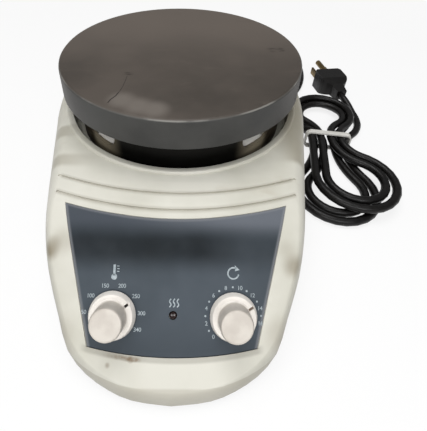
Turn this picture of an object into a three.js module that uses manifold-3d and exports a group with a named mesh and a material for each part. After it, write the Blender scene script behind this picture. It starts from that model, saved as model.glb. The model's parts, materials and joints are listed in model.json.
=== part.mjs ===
// Bench hotplate stirrer: a round heated plate on a windowed drum, over a moulded housing with a sloping panel.
// Millimetres, +Z up, front towards -Y. The origin is on the bench, under the middle of the object.
import * as THREE from 'three';
import { mergeVertices } from 'three/addons/utils/BufferGeometryUtils.js';
import Module from 'manifold-3d';

const wasm = await Module();
wasm.setup();

// Driving sizes of the whole object
const overallHeight = 85;
const bodyWidth = 160;
const bodyDepth = 276.5;
const rearProud = 3.5;
const plateDiameter = 135;
const plateSetbackShare = 0.5425;

// Clearances and common thicknesses
const seatGap = 0.3;
const runGap = 0.4;
const cutOver = 6;
const wall = 3;
const round = Math.PI * 2;
const finestDetail = 0.02;

// Heated plate and the gap under it
const plateSide = 16;
const plateTopThickness = 9;
const plateSkirtWall = 3;
const plateEdgeRound = 1.6;
const plateFlare = 0.6;
const ventGap = 14.5;

// Moulded housing
const skirtBottom = 2;
const sideDraft = 5;
const frontLean = 2.5;
const panelShoulder = 3.2;
const deckShoulder = 9.5;
const collarRadius = 65;
const collarDepth = 10;
const collarLipWidth = 4.5;
const collarLipHeight = 1.4;
const tubWall = 2.5;
const floorHoleRadius = 44;

// Sloping front: distances from the front tip and heights above the bench
const slopeStart = 74;
const shoulderStart = 25;
const panelHeadFromTip = 56;
const panelHeadDrop = 4;
const panelFootFromTip = 13;
const panelFootHeight = 14;
const toeFromTip = 2.5;
const toeHeight = 10.5;
const headBlend = 9;
const footBlend = 3;

// Control panel recess and its printed overlay
const overlayThickness = 0.7;
const overlayRecess = 1;
const panelTopShare = 0.62;
const panelTopCornerFromTip = 64.5;
const panelTopMiddleFromTip = 58;
const panelFootShare = 0.445;
const panelFootCornerFromTip = 16.8;
const panelFootMiddleFromTip = 13.6;

// Two grooves across the deck, in front of the collar
const grooveWidth = 1;
const grooveDepth = 0.7;
const rearGrooveShare = 0.70625;
const rearGrooveEndFromTip = 79.5;
const rearGrooveMiddleFromTip = 69.6;
const frontGrooveShare = 0.685;
const frontGrooveEndFromTip = 70;
const frontGrooveMiddleFromTip = 61.6;

// Controls
const knobSpacingShare = 0.31625;
const knobFromTip = 26.5;
const knobSkirtRadius = 9.9;
const knobSkirtHeight = 3.3;
const knobLift = 0.7;
const knobCapRadius = 6.8;
const knobHeight = 13.7;
const knobWeb = 1;
const knobMarkWidth = 1.1;
const knobMarkDepth = 0.8;
const tempKnobTurn = -53;
const speedKnobTurn = -59;
const shaftRadius = 3;
const shaftEnd = 11.2;
const bushingRadius = 4.75;
const nutFlats = 12;
const nutHeight = 2;
const potRadius = 8.2;
const potDepth = 9;
const lensRadius = 1.5;
const lensProud = 0.6;
const boardThickness = 1.6;
const boardBossGap = 0.8;
const boardFootGap = 0.61;
const boardHigh = 20;
const standoffRadius = 2.5;

// Derived places
const tipY = -(bodyDepth + rearProud) / 2;
const backY = tipY + bodyDepth;
const plateY = tipY + bodyDepth * plateSetbackShare;
const plateRadius = plateDiameter / 2;
const plateUnder = overallHeight - plateSide;
const plateCeiling = overallHeight - plateTopThickness;
const deckZ = plateUnder - ventGap;
const tubFloor = deckZ - collarDepth;
const tubUnder = tubFloor - wall;
const panelTopHalf = bodyWidth / 2 * panelTopShare;
const panelFootHalf = bodyWidth / 2 * panelFootShare;
const knobSpacing = bodyWidth * knobSpacingShare;

// Outline of the housing seen from above, from the front tip round the right side to the back,
// as shares of the half width and of the depth.
const outlineShares = [
  [0, 0], [0.175, 0.005], [0.3, 0.0152], [0.45, 0.0362], [0.56, 0.0633], [0.61, 0.094],
  [0.655, 0.123], [0.7025, 0.1573], [0.7425, 0.2025], [0.79, 0.2676], [0.854, 0.3508],
  [0.915, 0.434], [0.972, 0.5136], [1, 0.6], [0.972, 0.69], [0.87, 0.7957], [0.745, 0.89],
  [0.63, 0.954], [0.52, 0.988], [0.4, 1], [0.2, 1], [0, 1],
];
const outlineSamples = 400;
const beltShare = 0.66;
const frontBeltShare = 0.3;
const outlineCurve = new THREE.SplineCurve(outlineShares.map(
  ([x, y]) => new THREE.Vector2(x * bodyWidth / 2, tipY + y * bodyDepth)));

// Small helpers
const clamp01 = (value) => Math.min(1, Math.max(0, value));
const smooth = (value) => clamp01(value) ** 2 * (3 - 2 * clamp01(value));
const mix = (a, b, share) => a + (b - a) * share;
const fromTip = (distance) => tipY + distance;

function material(color, roughness, metalness = 0) {
  return new THREE.MeshStandardMaterial({ color, roughness, metalness });
}

const creamPlastic = material(0xd9d5c8, 0.5);
const knobPlastic = material(0xe2dbd0, 0.45);
const overlayFilm = material(0x515b64, 0.4);
const plateEnamel = material(0x5f5a55, 0.45, 0.3);
const darkSteel = material(0x3b3a39, 0.4, 0.8);
const brightSteel = material(0xb8bbbe, 0.3, 1);
const castAluminium = material(0xa9acae, 0.45, 1);
const blackRubber = material(0x1b1b1c, 0.7);
const blackPlastic = material(0x202022, 0.45);
const cordPlastic = material(0x121213, 0.35);
const paleTie = material(0xd8d6cf, 0.5);
const boardGreen = material(0x2f6b46, 0.55);
const ceramicFibre = material(0xe8e4da, 0.9);
const copperWire = material(0xa2622f, 0.4, 0.9);
const brassMetal = material(0xc2a35a, 0.35, 1);
const lensDark = material(0x2a1a18, 0.25);
const magnetNickel = material(0x8f9296, 0.3, 1);

// A closed geometry becomes an exact solid for cutting and joining.
function solidOf(geometry, matrix = null) {
  const source = (geometry.index ? geometry : geometry.clone()).clone();
  if (matrix) source.applyMatrix4(matrix);
  source.deleteAttribute('normal');
  source.deleteAttribute('uv');
  const merged = mergeVertices(source, 1e-4);
  const body = new wasm.Mesh({
    numProp: 3,
    vertProperties: new Float32Array(merged.attributes.position.array),
    triVerts: new Uint32Array(merged.index.array),
  });
  return new wasm.Manifold(body);
}

function geometryOf(solid) {
  const body = solid.asOriginal().simplify(finestDetail).getMesh();
  const geometry = new THREE.BufferGeometry();
  const points = new Float32Array(body.numVert * 3);
  for (let i = 0; i < body.numVert; i += 1) {
    for (let k = 0; k < 3; k += 1) points[i * 3 + k] = body.vertProperties[i * body.numProp + k];
  }
  geometry.setAttribute('position', new THREE.BufferAttribute(points, 3));
  geometry.setIndex(new THREE.BufferAttribute(new Uint32Array(body.triVerts), 1));
  return geometry;
}

function place(x, y, z) {
  return new THREE.Matrix4().makeTranslation(x, y, z);
}

// An upright round bar between two heights.
function bar(radius, low, high, x = 0, y = 0, sides = 32) {
  const geometry = new THREE.CylinderGeometry(radius, radius, high - low, sides);
  geometry.rotateX(Math.PI / 2);
  return solidOf(geometry, place(x, y, (low + high) / 2));
}

// A round bar along Y, between two places.
function rearBar(radius, near, far, x, z, sides = 32) {
  const geometry = new THREE.CylinderGeometry(radius, radius, far - near, sides);
  return solidOf(geometry, place(x, (near + far) / 2, z));
}

function block(width, depth, height, x, y, z) {
  return solidOf(new THREE.BoxGeometry(width, depth, height), place(x, y, z));
}

// A profile of [radius, height] points, which starts and ends on the axis or closes on itself, turned about Z.
function turned(profile, sides = 48) {
  const geometry = new THREE.LatheGeometry(profile.map(([r, z]) => new THREE.Vector2(r, z)), sides);
  geometry.rotateX(Math.PI / 2);
  return solidOf(geometry);
}

// A flat outline raised between two heights.
function raised(shape, low, high, curveSteps = 12) {
  const geometry = new THREE.ExtrudeGeometry(shape, {
    depth: high - low, bevelEnabled: false, curveSegments: curveSteps,
  });
  return solidOf(geometry, place(0, 0, low));
}

const root = new THREE.Group();

function addPiece(name, solid, surface, parent = root) {
  const piece = new THREE.Mesh(geometryOf(solid), surface);
  piece.name = name;
  parent.add(piece);
  return piece;
}

// Height of the deck and of the sloping front at a distance along Y: straight runs joined by soft bends.
const profileCorners = [
  { y: fromTip(toeFromTip), z: toeHeight, blend: 0 },
  { y: fromTip(panelFootFromTip), z: panelFootHeight, blend: footBlend },
  { y: fromTip(panelHeadFromTip), z: deckZ - panelHeadDrop, blend: headBlend },
  { y: fromTip(slopeStart), z: deckZ, blend: headBlend },
];
const runSlopes = profileCorners.slice(1).map((corner, i) =>
  (corner.z - profileCorners[i].z) / (corner.y - profileCorners[i].y));
runSlopes.push(0);
const panelSlope = runSlopes[1];
const panelTilt = Math.atan(panelSlope);

function softRamp(distance, blend) {
  if (distance <= -blend) return 0;
  if (distance >= blend) return distance;
  return (distance + blend) ** 2 / (4 * blend);
}

function deckHeight(y) {
  let height = profileCorners[0].z + runSlopes[0] * (y - profileCorners[0].y);
  for (let i = 1; i < profileCorners.length; i += 1) {
    const corner = profileCorners[i];
    height += (runSlopes[i] - runSlopes[i - 1]) * softRamp(y - corner.y, corner.blend);
  }
  return height;
}

// The same surface moved inwards by a depth measured square to it.
function deckHeightInside(y, depth) {
  const step = grooveWidth / 2;
  const slope = (deckHeight(y + step) - deckHeight(y - step)) / (2 * step);
  return deckHeight(y) - depth * Math.sqrt(1 + slope * slope);
}

// Points of the outline with their outward directions.
function outlinePoints(count) {
  const points = [];
  for (let i = 0; i <= count; i += 1) {
    const share = i / count;
    const point = outlineCurve.getPointAt(share);
    const along = outlineCurve.getTangentAt(share);
    const out = new THREE.Vector2(along.y, -along.x);
    if (i === 0) {
      point.x = 0;
      out.set(0, -1);
    }
    if (i === count) {
      point.x = 0;
      out.set(0, 1);
    }
    points.push({ point, out });
  }
  return points;
}

// How far the shoulder reaches in from the belt line at one place of the outline.
function shoulderReach(y, frontness) {
  const side = mix(panelShoulder, deckShoulder, smooth((y - fromTip(shoulderStart)) / (slopeStart - toeFromTip)));
  return mix(side, frontLean, frontness);
}

// The housing's outer form, or the same form moved inwards: a base ring, a belt ring, a rounded shoulder
// and a deck ruled from side to side.
function housingForm({ inset = 0, drop = 0, low = skirtBottom, count = 66, shoulderSteps = 5 }) {
  const outline = outlinePoints(count);
  const draftSteps = 2;
  const rings = [];
  for (let k = 0; k <= draftSteps + shoulderSteps; k += 1) {
    rings.push(outline.map(({ point, out }) => {
      const frontness = smooth((-out.y - 0.55) / 0.4);
      const sideness = 1 - smooth((Math.abs(out.y) - 0.55) / 0.4);
      const beltZ = mix(beltShare, frontBeltShare, frontness) * deckHeight(point.y);
      const reach = shoulderReach(point.y, frontness);
      if (k <= draftSteps) {
        const lift = k / draftSteps;
        const draft = sideDraft * sideness * (1 - lift) ** 2;
        const place2 = point.clone().addScaledVector(out, -inset - draft);
        return new THREE.Vector3(place2.x, place2.y, mix(low, beltZ, lift));
      }
      const turn = (k - draftSteps) / shoulderSteps * Math.PI / 2;
      const place2 = point.clone().addScaledVector(out, -inset - reach * (1 - Math.cos(turn)));
      const top = deckHeightInside(place2.y, drop);
      return new THREE.Vector3(place2.x, place2.y, mix(Math.min(beltZ, top), top, Math.sin(turn)));
    }));
  }
  const size = 2 * count;
  const positions = [];
  rings.forEach((ring) => {
    for (let j = 0; j < size; j += 1) {
      const mirrored = j > count;
      const spot = ring[mirrored ? size - j : j];
      positions.push(mirrored ? -spot.x : spot.x, spot.y, spot.z);
    }
  });
  const faces = [];
  for (let k = 0; k < rings.length - 1; k += 1) {
    for (let j = 0; j < size; j += 1) {
      const a = k * size + j;
      const b = k * size + (j + 1) % size;
      faces.push(a, b, b + size, a, b + size, a + size);
    }
  }
  const capStrips = (base, flip) => {
    for (let j = 0; j < count; j += 1) {
      const rightNear = base + j;
      const rightFar = base + j + 1;
      const leftNear = base + (size - j) % size;
      const leftFar = base + size - j - 1;
      const strip = [];
      if (j < count - 1) strip.push([rightNear, rightFar, leftFar]);
      if (j > 0) strip.push([rightNear, j < count - 1 ? leftFar : rightFar, leftNear]);
      strip.forEach(([p, q, r]) => faces.push(...(flip ? [p, r, q] : [p, q, r])));
    }
  };
  capStrips((rings.length - 1) * size, false);
  capStrips(0, true);
  const geometry = new THREE.BufferGeometry();
  geometry.setAttribute('position', new THREE.BufferAttribute(new Float32Array(positions), 3));
  geometry.setIndex(faces);
  return solidOf(geometry);
}

// The housing's base outline as a flat shape, moved inwards.
function baseShape(inset, count = 36) {
  const right = outlinePoints(count).map(({ point, out }) => {
    const sideness = 1 - smooth((Math.abs(out.y) - 0.55) / 0.4);
    return point.clone().addScaledVector(out, -inset - sideDraft * sideness);
  });
  const left = right.slice(1, -1).reverse().map((spot) => new THREE.Vector2(-spot.x, spot.y));
  return new THREE.Shape([...right, ...left]);
}

// An arc across the object through two mirrored ends and a middle point.
function crossArc(half, endY, middleY) {
  const sagitta = endY - middleY;
  const radius = (half * half + sagitta * sagitta) / (2 * sagitta);
  return { centreY: middleY + radius, radius, spread: Math.asin(half / radius) };
}

// The panel's outline seen from above, moved inwards.
function panelShape(inset) {
  const top = crossArc(panelTopHalf, fromTip(panelTopCornerFromTip), fromTip(panelTopMiddleFromTip));
  const foot = crossArc(panelFootHalf, fromTip(panelFootCornerFromTip), fromTip(panelFootMiddleFromTip));
  const shape = new THREE.Shape();
  const down = -Math.PI / 2;
  const topSpread = top.spread - inset / top.radius;
  const footSpread = foot.spread - inset / foot.radius;
  shape.absarc(0, foot.centreY, foot.radius - inset, down - footSpread, down + footSpread, false);
  shape.absarc(0, top.centreY, top.radius + inset, down + topSpread, down - topSpread, true);
  shape.closePath();
  return shape;
}

// Local frame of the sloping panel: x across, y up the slope, z square to it, zero on the overlay's face
// level with the knob axes.
const knobY = fromTip(knobFromTip);
const panelFrame = new THREE.Group();
panelFrame.position.set(0, knobY, deckHeight(knobY));
panelFrame.rotation.x = panelTilt;
panelFrame.updateMatrixWorld(true);
root.add(panelFrame);

function throughPanel(radius, x, low, high, sides = 32) {
  const geometry = new THREE.CylinderGeometry(radius, radius, high - low, sides);
  geometry.rotateX(Math.PI / 2);
  geometry.translate(x, 0, (low + high) / 2);
  return solidOf(geometry, panelFrame.matrixWorld);
}

// Rear fittings, measured on the flat back wall
const fittingZ = 18;
const switchPlaceShare = -0.25;
const switchX = bodyWidth / 2 * switchPlaceShare;
const switchWidth = 13;
const switchHeight = 19;
const switchDepth = 16;
const bezelBorder = 1;
const bezelProud = 2;
const rockerWidth = 9.2;
const rockerHalf = 7.4;
const rockerTilt = 9;
const rockerPocket = 6.5;
const fusePlaceShare = 0.075;
const fuseX = bodyWidth / 2 * fusePlaceShare;
const fuseDrop = 2;
const fuseZ = fittingZ - fuseDrop;
const fuseRadius = 6;
const fuseFlange = 8.2;
const fuseLength = 24;
const fuseBore = 4.7;
const fuseFlangeProud = 1.8;
const capStemDepth = 5.5;
const cordDiameter = 5.5;
const reliefPlaceShare = 0.325;
const reliefX = bodyWidth / 2 * reliefPlaceShare;
const reliefZ = 16;
const reliefLength = 28;
const reliefThick = 5.6;
const reliefThin = 3.9;
const reliefNeck = 5;
const rodPlaceShare = 0.5614;
const rodY = mix(plateY + collarRadius + collarLipWidth, backY, rodPlaceShare);
const rodRadius = 9;
const rodFlange = 11;
const rodFlangeThickness = 1;
const rodBore = 5;
const rodFloor = 4;
const rodFuseGap = 1.8;

// Base pan, feet and screws
const panBottom = 3;
const panThickness = 2.5;
const panTop = panBottom + panThickness;
const footRadius = 8;
const footStem = 2.7;
const footStemTop = 7.5;
const screwRadius = 1.5;
const screwHead = 3;
const screwHeadHeight = 1.4;
const screwTop = 15;
const bossRadius = 4.2;
const footFrontInset = 26;
const footFrontEdgeGap = 6.8;
const footRearInset = 25;
const footRearEdgeGap = 13.135;
const screwFrontInset = 46;
const screwFrontEdgeGap = 12.75;
const screwRearInset = 44;
const screwRearEdgeGap = 10.95;

// Half of the housing's width at a place along Y.
function halfWidthAt(y) {
  const spots = outlineCurve.getPoints(outlineSamples);
  const i = spots.findIndex((spot) => spot.y >= y);
  return mix(spots[i - 1].x, spots[i].x, (y - spots[i - 1].y) / (spots[i].y - spots[i - 1].y));
}

function besideEdge(y, edgeGap, radius) {
  return [halfWidthAt(y) - edgeGap - radius, y];
}

const footPlaces = [
  besideEdge(fromTip(footFrontInset), footFrontEdgeGap, footRadius),
  besideEdge(backY - footRearInset, footRearEdgeGap, footRadius),
];
const screwPlaces = [
  besideEdge(fromTip(screwFrontInset), screwFrontEdgeGap, bossRadius),
  besideEdge(backY - screwRearInset, screwRearEdgeGap, bossRadius),
];
const mirroredPair = ([x, y]) => [[-x, y], [x, y]];
const ventSlotWidth = 3;
const ventSlotLength = 24;
const ventSlotPitch = 8;
const ventSlotCount = 6;

// Upper housing: a thin moulded shell with a round tub, a raised lip, a panel recess and screw bosses
function makeHousing() {
  const outer = housingForm({});
  const inner = housingForm({ inset: wall, drop: wall, low: skirtBottom - cutOver, count: 36, shoulderSteps: 3 });
  const lipOuter = collarRadius + collarLipWidth;
  const tubOuter = collarRadius + tubWall;
  const lipRound = collarLipHeight / 2;
  const tub = turned([
    [0, tubUnder], [tubOuter, tubUnder], [tubOuter, deckZ - wall / 2], [lipOuter, deckZ - wall / 2],
    [lipOuter, deckZ + lipRound / 2], [lipOuter - lipRound, deckZ + collarLipHeight * 0.9],
    [lipOuter - 2 * lipRound, deckZ + collarLipHeight], [collarRadius + lipRound, deckZ + lipRound],
    [collarRadius, deckZ - lipRound], [collarRadius, tubFloor], [0, tubFloor],
  ], 96).translate([0, plateY, 0]);
  let shell = outer.subtract(inner);
  shell = shell.subtract(bar(collarRadius + tubWall / 2, tubFloor, overallHeight, 0, plateY, 96));
  shell = shell.add(tub);
  shell = shell.subtract(bar(floorHoleRadius, tubUnder - cutOver, tubFloor + cutOver, 0, plateY, 64));
  // Screw bosses that hang from the shell to just above the pan
  const bossLimit = housingForm({ inset: wall / 2, drop: wall / 2, count: 36, shoulderSteps: 3 });
  for (const [x, y] of screwPlaces.flatMap(mirroredPair)) {
    const boss = bar(bossRadius, panTop + seatGap, deckZ, x, y, 20).intersect(bossLimit);
    shell = shell.add(boss);
    shell = shell.subtract(bar(screwRadius + seatGap, panBottom, screwTop + 1, x, y, 16));
  }
  // Grooves and the recess for the overlay
  const grooveFloor = housingForm({ drop: grooveDepth, inset: 0 });
  const grooveArcs = [
    crossArc(bodyWidth / 2 * rearGrooveShare, fromTip(rearGrooveEndFromTip), fromTip(rearGrooveMiddleFromTip)),
    crossArc(bodyWidth / 2 * frontGrooveShare, fromTip(frontGrooveEndFromTip), fromTip(frontGrooveMiddleFromTip)),
  ];
  for (const arc of grooveArcs) {
    const shape = new THREE.Shape();
    const down = -Math.PI / 2;
    shape.absarc(0, arc.centreY, arc.radius + grooveWidth / 2, down - arc.spread, down + arc.spread, false);
    shape.absarc(0, arc.centreY, arc.radius - grooveWidth / 2, down + arc.spread, down - arc.spread, true);
    shape.closePath();
    shell = shell.subtract(raised(shape, tubUnder, overallHeight, 20).subtract(grooveFloor));
  }
  const recessFloor = housingForm({ drop: overlayRecess });
  shell = shell.subtract(raised(panelShape(0), 0, overallHeight, 24).subtract(recessFloor));
  // Holes for the controls
  for (const x of [-knobSpacing / 2, knobSpacing / 2]) {
    shell = shell.subtract(throughPanel(bushingRadius + seatGap, x, -wall - cutOver, cutOver));
  }
  shell = shell.subtract(throughPanel(lensRadius + seatGap, 0, -wall - cutOver, cutOver, 20));
  // Holes for the rear fittings
  shell = shell.subtract(block(switchWidth + 2 * seatGap, 4 * wall, switchHeight + 2 * seatGap,
    switchX, backY, fittingZ));
  shell = shell.subtract(rearBar(fuseRadius + seatGap, backY - 2 * wall, backY + wall, fuseX, fuseZ));
  shell = shell.subtract(rearBar(reliefNeck + seatGap, backY - 2 * wall, backY + wall, reliefX, reliefZ));
  shell = shell.subtract(bar(rodRadius + seatGap, tubUnder, overallHeight, 0, rodY));
  return shell;
}

addPiece('upper_housing', makeHousing(), creamPlastic);

// Base pan with vent slots, and what stands on it
function makePan() {
  let pan = raised(baseShape(wall + 2 * seatGap), panBottom, panTop);
  for (const [x, y] of footPlaces.flatMap(mirroredPair)) {
    pan = pan.subtract(bar(footStem + seatGap, panBottom - cutOver, panTop + cutOver, x, y, 20));
  }
  for (const [x, y] of screwPlaces.flatMap(mirroredPair)) {
    pan = pan.subtract(bar(screwRadius + seatGap, panBottom - cutOver, panTop + cutOver, x, y, 16));
  }
  for (const side of [-1, 1]) {
    for (let i = 0; i < ventSlotCount; i += 1) {
      const x = (i - (ventSlotCount - 1) / 2) * ventSlotPitch;
      const y = plateY + side * (ventSlotLength * 0.75);
      pan = pan.subtract(block(ventSlotWidth, ventSlotLength, 4 * panThickness, x, y, panBottom));
    }
  }
  return pan;
}

addPiece('base_pan', makePan(), darkSteel);

const cornerNames = ['front_left', 'front_right', 'rear_left', 'rear_right'];
footPlaces.flatMap(mirroredPair).forEach(([x, y], i) => {
  const foot = turned([
    [0, 0], [footRadius - 1, 0], [footRadius, panBottom - seatGap], [footStem, panBottom - seatGap],
    [footStem, footStemTop - footStem / 2], [footStem / 2, footStemTop], [0, footStemTop],
  ], 24);
  addPiece(`foot_${cornerNames[i]}`, foot, blackRubber).position.set(x, y, 0);
});
screwPlaces.flatMap(mirroredPair).forEach(([x, y], i) => {
  const headTop = panBottom - seatGap;
  const screw = turned([
    [0, headTop - screwHeadHeight], [screwHead - screwHeadHeight / 2, headTop - screwHeadHeight],
    [screwHead, headTop], [screwRadius, headTop], [screwRadius, screwTop - screwRadius],
    [0, screwTop],
  ], 16);
  addPiece(`base_screw_${cornerNames[i]}`, screw, brightSteel).position.set(x, y, 0);
});

// Control overlay: a thin sheet that follows the panel's bend
function makeOverlay() {
  const upper = housingForm({ drop: overlayRecess - seatGap - overlayThickness });
  const lower = housingForm({ drop: overlayRecess - seatGap });
  let sheet = raised(panelShape(seatGap), 0, overallHeight, 24).intersect(upper).subtract(lower);
  for (const x of [-knobSpacing / 2, knobSpacing / 2]) {
    sheet = sheet.subtract(throughPanel(bushingRadius + seatGap, x, -cutOver, cutOver));
  }
  return sheet.subtract(throughPanel(lensRadius + seatGap, 0, -cutOver, cutOver, 20));
}

addPiece('control_overlay', makeOverlay(), overlayFilm);

// Knobs, shafts, potentiometers and nuts, built square to the panel
const potTop = -wall - seatGap;
const boardTop = potTop - potDepth - seatGap;

function makeKnob() {
  const web = knobLift + knobSkirtHeight - knobWeb;
  const skirtTop = knobLift + knobSkirtHeight;
  const hollow = knobSkirtRadius - 1.3;
  const edge = 0.5;
  const boreTop = shaftEnd + seatGap;
  const knob = turned([
    [0, boreTop], [shaftRadius + seatGap, boreTop], [shaftRadius + seatGap, web], [hollow, web],
    [hollow, knobLift], [knobSkirtRadius - edge, knobLift], [knobSkirtRadius, knobLift + edge],
    [knobSkirtRadius - edge, skirtTop - 2 * edge], [knobSkirtRadius - 2 * edge, skirtTop],
    [knobCapRadius + edge, skirtTop], [knobCapRadius, skirtTop + edge],
    [knobCapRadius - edge / 2, knobHeight - 2 * edge], [knobCapRadius - 1.5 * edge, knobHeight - edge / 2],
    [knobCapRadius - 3 * edge, knobHeight], [0, knobHeight],
  ], 40);
  const markLength = knobSkirtRadius - knobCapRadius;
  const mark = block(knobMarkWidth, markLength, 2 * knobMarkDepth, 0, knobSkirtRadius - markLength / 2, skirtTop);
  return knob.subtract(mark);
}

function hexShape(flats) {
  const corner = flats / 2 / Math.cos(Math.PI / 6);
  const shape = new THREE.Shape();
  for (let i = 0; i < 6; i += 1) {
    const angle = i / 6 * round;
    const method = i === 0 ? 'moveTo' : 'lineTo';
    shape[method](corner * Math.cos(angle), corner * Math.sin(angle));
  }
  shape.closePath();
  return shape;
}

const nutBase = seatGap;
const bushingTop = nutBase + nutHeight + seatGap;
const shaftFoot = potTop - potDepth / 2;

for (const [name, side, turn] of [['temp', -1, tempKnobTurn], ['speed', 1, speedKnobTurn]]) {
  const x = side * knobSpacing / 2;
  const pot = bar(potRadius, potTop - potDepth, potTop, 0, 0, 32)
    .add(bar(bushingRadius, potTop - 1, bushingTop, 0, 0, 24))
    .subtract(bar(shaftRadius + seatGap, shaftFoot - seatGap, bushingTop + cutOver, 0, 0, 24));
  addPiece(`${name}_potentiometer`, pot, castAluminium, panelFrame).position.x = x;
  const nut = raised(hexShape(nutFlats), nutBase, nutBase + nutHeight)
    .subtract(bar(bushingRadius + seatGap, nutBase - cutOver, nutBase + cutOver, 0, 0, 24));
  addPiece(`${name}_nut`, nut, brightSteel, panelFrame).position.x = x;
  const control = new THREE.Group();
  control.position.x = x;
  control.rotation.z = THREE.MathUtils.degToRad(turn);
  panelFrame.add(control);
  addPiece(`${name}_shaft`, bar(shaftRadius, shaftFoot, shaftEnd, 0, 0, 24), brightSteel, control);
  addPiece(`${name}_knob`, makeKnob(), knobPlastic, control);
}

// Indicator lamp: a domed lens in the overlay and the lamp behind it on the board
const lensFoot = -wall - seatGap;
const lens = turned([
  [0, lensFoot], [lensRadius, lensFoot], [lensRadius, 0], [lensRadius * 0.85, lensProud * 0.6],
  [lensRadius * 0.45, lensProud * 0.95], [0, lensProud],
], 20);
addPiece('indicator_lens', lens, lensDark, panelFrame);
const lampTop = lensFoot - seatGap;
const lamp = bar(lensRadius * 0.9, boardTop + seatGap, lampTop, 0, 0, 16);
addPiece('indicator_lamp', lamp, ceramicFibre, panelFrame);

// Control board behind the panel, on two standoffs
const boardWidth = 2 * (screwPlaces[0][0] - bossRadius - boardBossGap);
const boardDepth = boardThickness - boardTop;
const boardLow = (deckHeight(knobY) - boardDepth * Math.cos(panelTilt) - footStemTop - boardFootGap)
  / Math.sin(panelTilt);
const boardMiddle = (boardHigh - boardLow) / 2;
const board = block(boardWidth, boardLow + boardHigh, boardThickness, 0, boardMiddle,
  boardTop - boardThickness / 2);
addPiece('control_board', board, boardGreen, panelFrame);
for (const [name, side] of [['left', -1], ['right', 1]]) {
  const post = bar(standoffRadius, boardTop + seatGap, -wall - seatGap, 0, 0, 16);
  const standoff = addPiece(`board_standoff_${name}`, post, brassMetal, panelFrame);
  standoff.position.set(side * (boardWidth / 2 - 2 * standoffRadius), boardHigh - 3 * standoffRadius, 0);
}

// Heated plate and the stack under it, all about the plate's own axis
const plateFrame = new THREE.Group();
plateFrame.position.set(0, plateY, 0);
root.add(plateFrame);

const plateInside = plateRadius - plateSkirtWall;
const plateProfile = [[0, plateCeiling], [plateInside, plateCeiling], [plateInside, plateUnder],
  [plateRadius + plateFlare - 0.5, plateUnder], [plateRadius + plateFlare, plateUnder + 0.5]];
const edgeSteps = 3;
for (let i = 0; i <= edgeSteps; i += 1) {
  const turn = i / edgeSteps * Math.PI / 2;
  plateProfile.push([plateRadius - plateEdgeRound * (1 - Math.cos(turn)),
    overallHeight - plateEdgeRound * (1 - Math.sin(turn))]);
}
plateProfile.push([0, overallHeight]);
addPiece('top_plate', turned(plateProfile, 96), plateEnamel, plateFrame);

// Windowed drum that carries the plate
const drumRadius = 61;
const drumWall = 1.8;
const windowWidth = 21;
const windowRound = 6;
const windowSillRise = 10.2;
const windowHeadDrop = 5.2;
const windowSill = tubFloor + seatGap + windowSillRise;
const windowHead = plateCeiling - seatGap - windowHeadDrop;
const windowAngles = [42, 90, 138];

function windowShape() {
  const half = windowWidth / 2;
  const shape = new THREE.Shape();
  shape.moveTo(-half, windowHead);
  shape.lineTo(-half, windowSill + windowRound);
  shape.absarc(-half + windowRound, windowSill + windowRound, windowRound, Math.PI, 1.5 * Math.PI, false);
  shape.absarc(half - windowRound, windowSill + windowRound, windowRound, 1.5 * Math.PI, 2 * Math.PI, false);
  shape.lineTo(half, windowHead);
  shape.closePath();
  return shape;
}

function makeDrum() {
  const low = tubFloor + seatGap;
  const high = plateCeiling - seatGap;
  const inside = drumRadius - drumWall;
  let drum = turned([[inside, low], [drumRadius, low], [drumRadius, high], [inside, high], [inside, low]], 96);
  for (const angle of windowAngles.flatMap((value) => [value, -value])) {
    const cutter = new THREE.ExtrudeGeometry(windowShape(), {
      depth: drumRadius, bevelEnabled: false, curveSegments: 6,
    });
    cutter.rotateX(Math.PI / 2);
    cutter.translate(0, -drumRadius / 2, 0);
    cutter.rotateZ(THREE.MathUtils.degToRad(angle));
    drum = drum.subtract(solidOf(cutter));
  }
  return drum;
}

addPiece('support_drum', makeDrum(), darkSteel, plateFrame);

// Heater stack, from the plate's ceiling down
const heaterOuter = 55;
const heaterInner = 22;
const heaterThickness = 4;
const fibreRadius = 57;
const fibreThickness = 4;
const clampRadius = 57.5;
const clampThickness = 1.2;
const probeRadius = 2;
const heaterTop = plateCeiling - seatGap;
const fibreTop = heaterTop - heaterThickness - seatGap;
const clampTop = fibreTop - fibreThickness - seatGap;
const clampUnder = clampTop - clampThickness;

const heater = bar(heaterOuter, heaterTop - heaterThickness, heaterTop, 0, 0, 64)
  .subtract(bar(heaterInner, heaterTop - heaterThickness - cutOver, heaterTop + cutOver, 0, 0, 32));
addPiece('heater_element', heater, castAluminium, plateFrame);
const probeHole = bar(probeRadius + seatGap, clampUnder - cutOver, heaterTop + cutOver, 0, 0, 16);
const fibre = bar(fibreRadius, fibreTop - fibreThickness, fibreTop, 0, 0, 64).subtract(probeHole);
addPiece('insulation_disc', fibre, ceramicFibre, plateFrame);
const clampPlate = bar(clampRadius, clampUnder, clampTop, 0, 0, 64).subtract(probeHole);
addPiece('clamp_plate', clampPlate, brightSteel, plateFrame);
const probe = bar(probeRadius, clampUnder - 1, heaterTop, 0, 0, 16);
addPiece('temperature_probe', probe, brightSteel, plateFrame);

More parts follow.
